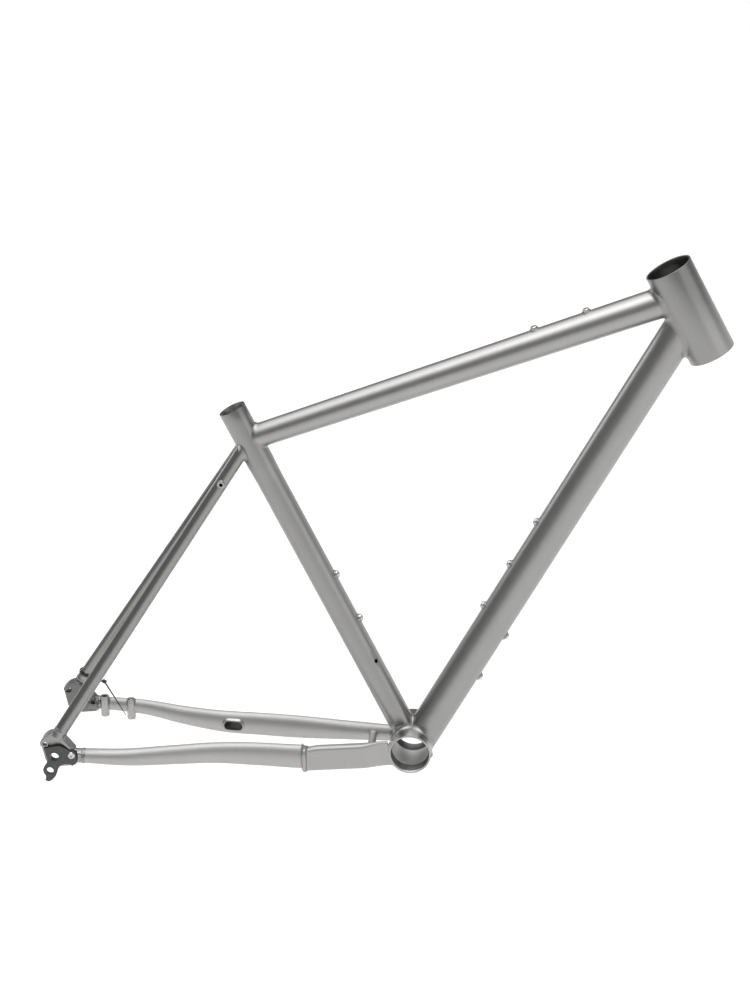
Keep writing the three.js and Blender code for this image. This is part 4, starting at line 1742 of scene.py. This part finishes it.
@dataclass(frozen=True)
class Port:
    """The hose opening: its seat on the stay, its directions and its outline's sizes."""

    seat: Vector
    forward: Vector
    inward: Vector
    up: Vector
    reach: float
    radius: float

    def point(self, along: float, high: float, depth: float) -> Vector:
        """A point near the opening, from its seat."""
        return self.seat + self.forward * along + self.up * high + self.inward * depth

    def outline(self, share: float) -> tuple:
        """A point on the slot's outline, and the outward direction there.

        Args:
            share: the share of the way round.

        Returns:
            The point and the direction, two coordinates each.
        """
        arc, side = math.pi * self.radius, 2 * self.reach
        run = share % 1 * 2 * (arc + side)
        for sign in (1, -1):
            if run <= arc:
                angle = run / self.radius - math.pi / 2
                c, s = math.cos(angle) * sign, math.sin(angle) * sign
                return sign * self.reach + c * self.radius, s * self.radius, c, s
            run -= arc
            if run <= side:
                return sign * (self.reach - run), sign * self.radius, 0, sign
            run -= side
        return self.reach, -self.radius, 0, -1


@dataclass
class RearTriangle:
    """The seat stays, the left chain stay, the bridges and the rack bosses."""

    stay_wall: float = 1.0
    chain_stay_wall: float = 1.2
    boss_down: float = 59.5
    boss_radius: float = 4.6
    boss_bore: float = 2.1
    boss_length: float = 6.4
    boss_proud: float = 1.4
    boss_hole: float = 2.6
    stay_clear: float = 12.5
    bridge_radius: float = 5.0
    bridge_wall: float = 1.0
    chain_bridge_radius: float = 4.9
    chain_bridge_from: Vector = field(default_factory=lambda: Vector((-51, -33.5, 1)))
    chain_bridge_length: float = 65.0
    yoke_face: float = -32.3
    port_x: float = -226.0
    port_length: float = 27.0
    port_height: float = 15.6
    port_rim: float = 1.8
    port_proud: float = 1.6

    def build(self) -> None:
        """Builds both sides and what joins them."""
        for side, sign in (("left", 1), ("right", -1)):
            self._seat_stay(side, sign)
        self._seat_bridge()
        self._left_chain_stay()
        self._chain_bridge()

    def _spot(self, sign: int) -> Vector:
        """The place on a stay's axis where its bridge and its rack boss are."""
        rod = stay_rod(sign)
        return rod.start + rod.axis * (rod.length - self.boss_down)

    def _seat_stay(self, side: str, sign: int) -> None:
        """One seat stay with its rack boss.

        Args:
            side: left or right.
            sign: 1 on the left and -1 on the right.
        """
        rod = stay_rod(sign)
        clear = Flat(SEAT_FRONT * -self.stay_clear, -SEAT_FRONT)
        span = (0, rod.length + 1)
        piece = tube(f"seat_stay_{side}_smooth", rod, [], [SEAT_ROD, clear], 200, span, 64)
        Bench.hollow(piece, self.stay_wall)
        spot, outward = self._spot(sign), Vector((0, sign, 0))
        cutter = Bench.rod("boss_cutter", spot, spot + outward * 20, self.boss_hole, 32)
        Bench.cut(piece, cutter)
        Bench.finish(piece, SEAT_STAYS, rod.axis, rod.start, [f"seat_stay_{side}"])
        Fillet(
            f"weld_seat_stay_{side}_top", rod_lines(rod, 350, True), [SEAT_ROD], leg=3.0,
            limit=rod.length - 350, steps=160, convex=0.2, stops=[clear],
        ).build()
        reach = rod.radius + self.boss_proud
        root = reach - self.boss_length
        profile = [
            (self.boss_bore, root), (self.boss_radius, root),
            (self.boss_radius, reach), (self.boss_bore, reach),
        ]
        boss = Bench.turned(f"rack_boss_{side}_smooth", profile, spot, outward, 48)
        Bench.round_edges(boss, 0.35, 3, 50)
        Bench.finish(boss, MACHINED, outward, spot, [f"rack_boss_{side}"])
        post = Rod(spot, outward, self.boss_radius)
        Fillet(
            f"weld_rack_boss_{side}", rod_lines(post, 14, False), [rod], leg=1.15, steps=110,
            pitch=1.4,
        ).build()

    def _seat_bridge(self) -> None:
        """The small tube between the seat stays."""
        left, right = self._spot(1), self._spot(-1)
        rod = Rod(right, LEFT, self.bridge_radius, length=(left - right).length)
        middle = rod.length / 2
        ends = [stay_rod(-1)], [stay_rod(1)]
        piece = tube("seat_stay_bridge_smooth", rod, *ends, middle, (0, rod.length), 48, 8)
        Bench.hollow(piece, self.bridge_wall)
        Bench.finish(piece, SEAT_STAYS, LEFT, left, ["seat_stay_bridge"])
        for side, forward, meets in (("left", True, ends[1]), ("right", False, ends[0])):
            Fillet(
                f"weld_seat_stay_bridge_{side}", rod_lines(rod, middle, forward), meets, leg=2.0,
                steps=110, pitch=1.8, limit=middle,
            ).build()

    def _left_chain_stay(self) -> None:
        """The left chain stay with its hose port."""
        piece = LEFT_STAY.skin("chain_stay_left_smooth", [SHELL_ROD], 9, 60)
        Bench.hollow(piece, self.chain_stay_wall)
        port = self._port()
        Bench.cut(piece, self._port_cutter(port))
        middle = LEFT_STAY.stations[LEFT_STAY.rings // 2][0]
        Bench.finish(piece, CHAIN_STAYS, STAY_GRAIN, middle, ["chain_stay_left"])
        Fillet(
            "weld_chain_stay_left_shell", LEFT_STAY.front_lines(9), [SHELL_ROD], leg=3.8, limit=60,
        ).build()
        self._port_ring(port)

    def _port(self) -> Port:
        """The hose port, on the stay's inner side.

        Returns:
            The port.
        """
        centre, forward, _, _, _, wide = LEFT_STAY.at(self.port_x)
        inward = Vector((forward.y, -forward.x, 0)).normalized()
        up = inward.cross(forward)
        up = up if up.z > 0 else -up
        reach = (self.port_length - self.port_height) / 2
        radius = self.port_height / 2 - self.port_rim
        return Port(centre + inward * wide, forward, inward, up, reach, radius)

    @staticmethod
    def _port_cutter(port: Port) -> bpy.types.Object:
        """The slot that is taken out of the stay's wall.

        Args:
            port: the hose port.

        Returns:
            The cutter.
        """
        around = 64

        def place(u: float, v: float) -> Vector:
            """The cutter's surface, closed at both ends.

            Args:
                u: the share of the way round.
                v: the share of the way along.

            Returns:
                The point.
            """
            a, b, _, _ = port.outline(u)
            step = round(v * 3)
            depth = -6 if step < 2 else 5
            pull = 0 if step in (0, 3) else 1
            return port.point(a * pull, b * pull, depth)

        return Bench.skin("port_cutter", around, 3, place)

    def _port_ring(self, port: Port) -> None:
        """The raised rim round the hose port.

        Args:
            port: the hose port.
        """
        rim, proud = self.port_rim, self.port_proud
        profile = [
            (0, -5.0), (0, proud - 0.5), (0.25, proud - 0.1), (0.7, proud),
            (rim - 0.5, proud - 0.15), (rim - 0.1, proud - 0.6), (rim + 0.35, 0.2),
            (rim + 1.2, -0.9), (rim + 1.6, -2.6), (0.9, -5.0),
        ]
        around = 120

        def place(u: float, v: float) -> Vector:
            """The rim's surface.

            Args:
                u: the share of the way round.
                v: the share of the way along.

            Returns:
                The point.
            """
            a, b, out_a, out_b = port.outline(u)
            grow, lift = profile[round(v * len(profile)) % len(profile)]
            return port.point(a + out_a * grow, b + out_b * grow, lift)

        piece = Bench.skin("hose_port_ring_smooth", around, len(profile), place)
        Bench.finish(piece, MACHINED, port.inward, port.seat, ["hose_port_ring"], sharp=60)

    def _chain_bridge(self) -> None:
        """The small tube between the left chain stay and the yoke."""
        start, length = self.chain_bridge_from, self.chain_bridge_length
        rod = Rod(start, LEFT, self.chain_bridge_radius, length=length)
        yoke_face = Flat(Vector((start.x, self.yoke_face, start.z)), LEFT)
        ends = [yoke_face], [LEFT_STAY]
        piece = tube("chain_stay_bridge_smooth", rod, *ends, 30, (0, length), 48, 8)
        Bench.hollow(piece, self.bridge_wall)
        Bench.finish(piece, CHAIN_STAYS, LEFT, rod.start, ["chain_stay_bridge"])
        for side, forward, meets in (("left", True, LEFT_STAY), ("right", False, yoke_face)):
            Fillet(
                f"weld_chain_stay_bridge_{side}", rod_lines(rod, 30, forward), [meets], leg=1.3,
                steps=110, pitch=1.8, limit=40, finish=PALE_WELD,
            ).build()


# ---------------------------------------------------------------- rear ends


@dataclass
class RearEnds:
    """The dropouts, the hanger and the brake posts."""

    post_radius: float = 5.6
    post_bore: float = 2.8
    rear_post: Vector = field(default_factory=lambda: Vector((-394.2, 66, 65.5)))
    bolt: Vector = field(default_factory=lambda: Vector((-408.4, -79.7, 72.5)))
    pitch: float = 34.0
    lean: float = 9.4
    above: tuple = (13.5, 10.2)
    below: tuple = (14.0, 17.0)

    def build(self) -> None:
        """Builds both rear ends."""
        # Each dropout takes its own grey of the same metal: painted shade on the far left one,
        # painted light on the near right one.
        sides = ("left", 1, LEFT_STAY, SHADED_LEFT_DROPOUT), ("right", -1, RIGHT_STAY, LIT_RIGHT_DROPOUT)
        for side, sign, stay, finish in sides:
            piece = Bench.from_node(f"dropout_{side}_smooth", f"dropout_{side}", 0.42, 5)
            hub = LINES.axle + LEFT * sign * LINES.hub_half
            Bench.finish(piece, finish, LEFT, hub, [f"dropout_{side}"], sharp=55)
            rod = stay_rod(sign)
            bead(f"weld_seat_stay_{side}_dropout", rod.start, rod.axis, rod.radius, rod.radius)
            centre, forward, _, _, tall, wide = stay.stations[0]
            bead(f"weld_chain_stay_{side}_dropout", centre, forward, wide, tall)
        self._hanger()
        self._posts()

    def _hanger(self) -> None:
        """The derailleur hanger and the bolt that holds it."""
        piece = Bench.from_node("derailleur_hanger_smooth", "derailleur_hanger", 0.3, 5)
        Bench.finish(piece, ALLOY, LEFT, Vector((-430, -77, 60)), ["derailleur_hanger"], sharp=50)
        profile = [
            (0, -9), (2.3, -9), (2.3, 0.3), (4.6, 0.3), (4.6, 1.2), (3.6, 2.4), (1.6, 2.4),
            (1.6, 0.8), (0, 0.8),
        ]
        bolt = Bench.turned("hanger_bolt_smooth", profile, self.bolt, -LEFT, 48)
        Bench.round_edges(bolt, 0.25, 2, 40)
        Bench.finish(bolt, STEEL, LEFT, self.bolt, ["hanger_bolt"])

    def _posts(self) -> None:
        """The two posts that carry the brake caliper."""
        axis = Vector((math.sin(math.radians(self.lean)), 0, math.cos(math.radians(self.lean))))
        step = Vector((axis.z, 0, -axis.x))
        for i, name in enumerate(("rear", "front")):
            centre = self.rear_post + step * self.pitch * i
            low, high = -self.below[i], self.above[i]
            profile = [
                (self.post_bore, low), (self.post_radius, low),
                (self.post_radius, high), (self.post_bore, high),
            ]
            piece = Bench.turned(f"brake_mount_{name}_smooth", profile, centre, axis, 64)
            Bench.round_edges(piece, 0.6, 3, 50)
            Bench.finish(piece, MACHINED, axis, centre, [f"brake_mount_{name}"])
            rod = Rod(centre, axis, self.post_radius)
            ends = ("top", 30, False, (1.7, 0.6)[i]), ("foot", -30, True, 1.7)
            for where, base, forward, leg in ends:
                Fillet(
                    f"weld_brake_mount_{name}_{where}", rod_lines(rod, base, forward),
                    [LEFT_STAY], leg=leg, steps=120, pitch=1.8, limit=28,
                ).build()


# ---------------------------------------------------------------- fittings


@dataclass(frozen=True)
class BossRow:
    """A row of threaded bosses along a tube."""

    label: str
    rod: Rod
    normal: Vector
    first: float
    count: int
    pitch: float = 64.0

    def feet(self) -> Iterable[tuple]:
        """The name and the foot of each boss.

        Returns:
            One pair at a time, from the first boss.
        """
        for i in range(self.count):
            along = self.first + i * self.pitch
            foot = self.rod.start + self.rod.axis * along + self.normal * self.rod.radius_at(along)
            yield f"{self.label}_{i + 1}", foot


@dataclass
class Fittings:
    """Bottle bosses with their screws, and the nylon tie."""

    body: float = 4.2
    flange: float = 5.4
    ring: float = 4.4
    dish: float = 0.6
    proud: float = 1.5
    depth: float = 9.0
    bore: float = 2.5
    socket: float = 1.6

    def build(self) -> None:
        """Builds all rows and the tie."""
        rows = [
            BossRow("seat_tube_boss", SEAT_ROD, SEAT_FRONT, 178.5, 2),
            BossRow("top_tube_boss", TOP_ROD, TOP_UP, 368, 2),
            BossRow("down_tube_upper_boss", DOWN_ROD, DOWN_UP, 208, 3),
            BossRow("down_tube_lower_boss", DOWN_ROD, -DOWN_UP, 122, 2),
        ]
        for row in rows:
            for name, foot in row.feet():
                self._boss(name, foot, row.normal, row.rod)
                self._screw(name, foot, row.normal)
        tie = Bench.from_node("cable_tie_smooth", "cable_tie", 0.22, 3)
        grain, centre = Vector((0.3, 0, -1)), Vector((-400, 68, 90))
        Bench.finish(tie, NYLON, grain, centre, ["cable_tie"], sharp=60)

    def _boss(self, name: str, foot: Vector, normal: Vector, rod: Rod) -> None:
        """One boss with its fillet.

        Args:
            name: the boss's name.
            foot: where its axis meets the tube's surface.
            normal: its axis, outwards.
            rod: the tube that it is in.
        """
        profile = [
            (self.bore, -self.depth), (self.body, -self.depth), (self.body, 0.2),
            (self.flange, -0.4), (self.flange, self.proud), (self.ring, self.proud),
            (self.bore, self.proud - self.dish),
        ]
        piece = Bench.turned(f"{name}_smooth", profile, foot, normal, 48)
        Bench.round_edges(piece, 0.3, 3, 40)
        Bench.finish(piece, MACHINED, normal, foot, [name])
        post = Rod(foot, normal, self.flange)
        Fillet(
            f"weld_{name}", rod_lines(post, 6, False), [rod], leg=0.9, steps=100, pitch=1.5, arc=5,
        ).build()

    def _screw(self, name: str, foot: Vector, normal: Vector) -> None:
        """The screw in a boss: a round head with a hexagon socket.

        Args:
            name: the boss's name.
            foot: where the axis meets the tube's surface.
            normal: the axis, outwards.
        """
        seat = self.proud + 0.05
        profile = [
            (0, seat - 8), (2.2, seat - 8), (2.2, seat), (4.1, seat), (4.1, seat + 1.3),
            (3.7, seat + 2.1), (2.95, seat + 2.6), (0, seat + 2.6),
        ]
        piece = Bench.turned(f"{name}_screw_smooth", profile, foot, normal, 48)
        top = foot + normal * (seat + 1.1)
        socket = Bench.rod("socket_cutter", top, top + normal * 4, self.socket, 6)
        Bench.cut(piece, socket)
        Bench.round_edges(piece, 0.15, 2, 35)
        Bench.finish(piece, STEEL, normal, foot, [f"{name}_screw"])


# ---------------------------------------------------------------- studio


@dataclass(frozen=True)
class Studio:
    """Floor, light and camera."""

    floor_height: float = -0.2675
    floor_half: float = 22.0
    eye: Vector = field(default_factory=lambda: Vector((0.430426, -2.789938, 1.432872)))
    yaw: float = -8.602
    pitch: float = 21.403
    roll: float = 10.249
    lens: float = 90.84
    sensor: float = 36.0
    sky_strength: float = 2.3
    sky_stops: tuple = ((0.0, 0.13), (0.35, 0.10), (0.62, 0.12), (0.84, 0.85), (1.0, 1.0))

    def build(self) -> None:
        """Builds the whole set."""
        self._camera()
        self._floor()
        self._sky()
        self._lamp("overhead_softbox", Vector((0.2, -0.3, 2.6)), Vector((0, 0, 0.3)), 2.2, 1.3, 13)
        self._lamp("front_softbox", Vector((2.3, -0.9, 0.7)), Vector((0.3, 0, 0.35)), 2.0, 2.0, 7)
        self._lamp("rear_softbox", Vector((-2.4, 1.6, 1.5)), Vector((-0.1, 0, 0.3)), 1.2, 1.2, 9)

    def _camera(self) -> None:
        """The camera, with its lens and its tilt."""
        yaw, pitch, roll = (math.radians(a) for a in (self.yaw, self.pitch, self.roll))
        level = math.cos(pitch)
        look = Vector((math.sin(yaw) * level, math.cos(yaw) * level, -math.sin(pitch)))
        right = Vector((math.cos(yaw), -math.sin(yaw), 0))
        up = right.cross(look)
        side = right * math.cos(roll) - up * math.sin(roll)
        top = right * math.sin(roll) + up * math.cos(roll)
        data = bpy.data.cameras.new("studio_camera")
        data.lens = self.lens
        data.sensor_width = self.sensor
        data.clip_end = 100.0
        camera = bpy.data.objects.new("studio_camera", data)
        bpy.context.scene.collection.objects.link(camera)
        camera.matrix_world = Matrix((
            (side.x, top.x, -look.x, self.eye.x),
            (side.y, top.y, -look.y, self.eye.y),
            (side.z, top.z, -look.z, self.eye.z),
            (0, 0, 0, 1),
        ))
        bpy.context.scene.camera = camera

    def _floor(self) -> None:
        """A plain pale floor."""
        bpy.ops.object.select_all(action="DESELECT")
        bpy.ops.mesh.primitive_plane_add(
            size=2 * self.floor_half, location=(0, 0, self.floor_height),
        )
        floor = bpy.context.object
        floor.name = "studio_floor"
        g = Graph("studio_floor_finish")
        g.feed("Base Color", (0.93, 0.93, 0.925, 1))
        g.feed("Roughness", 0.9)
        g.feed("Specular IOR Level", 0.1)
        floor.data.materials.append(g.material)

    def _sky(self) -> None:
        """Soft light from above, with darker walls round the set."""
        world = bpy.data.worlds.new("studio_sky")
        bpy.context.scene.world = world
        world.use_nodes = True
        tree = world.node_tree
        tree.nodes.clear()
        coords = tree.nodes.new("ShaderNodeTexCoord")
        split = tree.nodes.new("ShaderNodeSeparateXYZ")
        ramp = tree.nodes.new("ShaderNodeValToRGB")
        back = tree.nodes.new("ShaderNodeBackground")
        output = tree.nodes.new("ShaderNodeOutputWorld")
        tree.links.new(coords.outputs["Generated"], split.inputs[0])
        tree.links.new(split.outputs["Z"], ramp.inputs["Fac"])
        tree.links.new(ramp.outputs["Color"], back.inputs["Color"])
        tree.links.new(back.outputs["Background"], output.inputs["Surface"])
        set_stops(ramp.color_ramp, self.sky_stops)
        back.inputs["Strength"].default_value = self.sky_strength

    @staticmethod
    def _lamp(
        name: str, place: Vector, target: Vector, wide: float, deep: float, watts: float,
    ) -> None:
        """One area lamp that faces a target.

        Args:
            name: the lamp's name.
            place: where it stands, in metres.
            target: what it faces.
            wide: its width.
            deep: its depth.
            watts: its power.
        """
        data = bpy.data.lights.new(name, "AREA")
        data.shape = "RECTANGLE"
        data.size, data.size_y = wide, deep
        data.energy = watts
        lamp = bpy.data.objects.new(name, data)
        bpy.context.scene.collection.objects.link(lamp)
        turn = (target - place).to_track_quat("-Z", "Y")
        lamp.matrix_world = Matrix.Translation(place) @ turn.to_matrix().to_4x4()


def main() -> None:
    """Builds the studio and every piece of the frame."""
    logging.basicConfig(level=logging.INFO, format="%(name)s %(message)s")
    scene = bpy.context.scene
    scene.view_settings.view_transform = "Standard"
    for part in (Studio(), MainTriangle(), DriveSide(), RearTriangle(), RearEnds(), Fittings()):
        part.build()
        LOG.info("%s done", type(part).__name__)
    LOG.info("%d pieces", Bench.count)


if __name__ == "__main__":
    main()
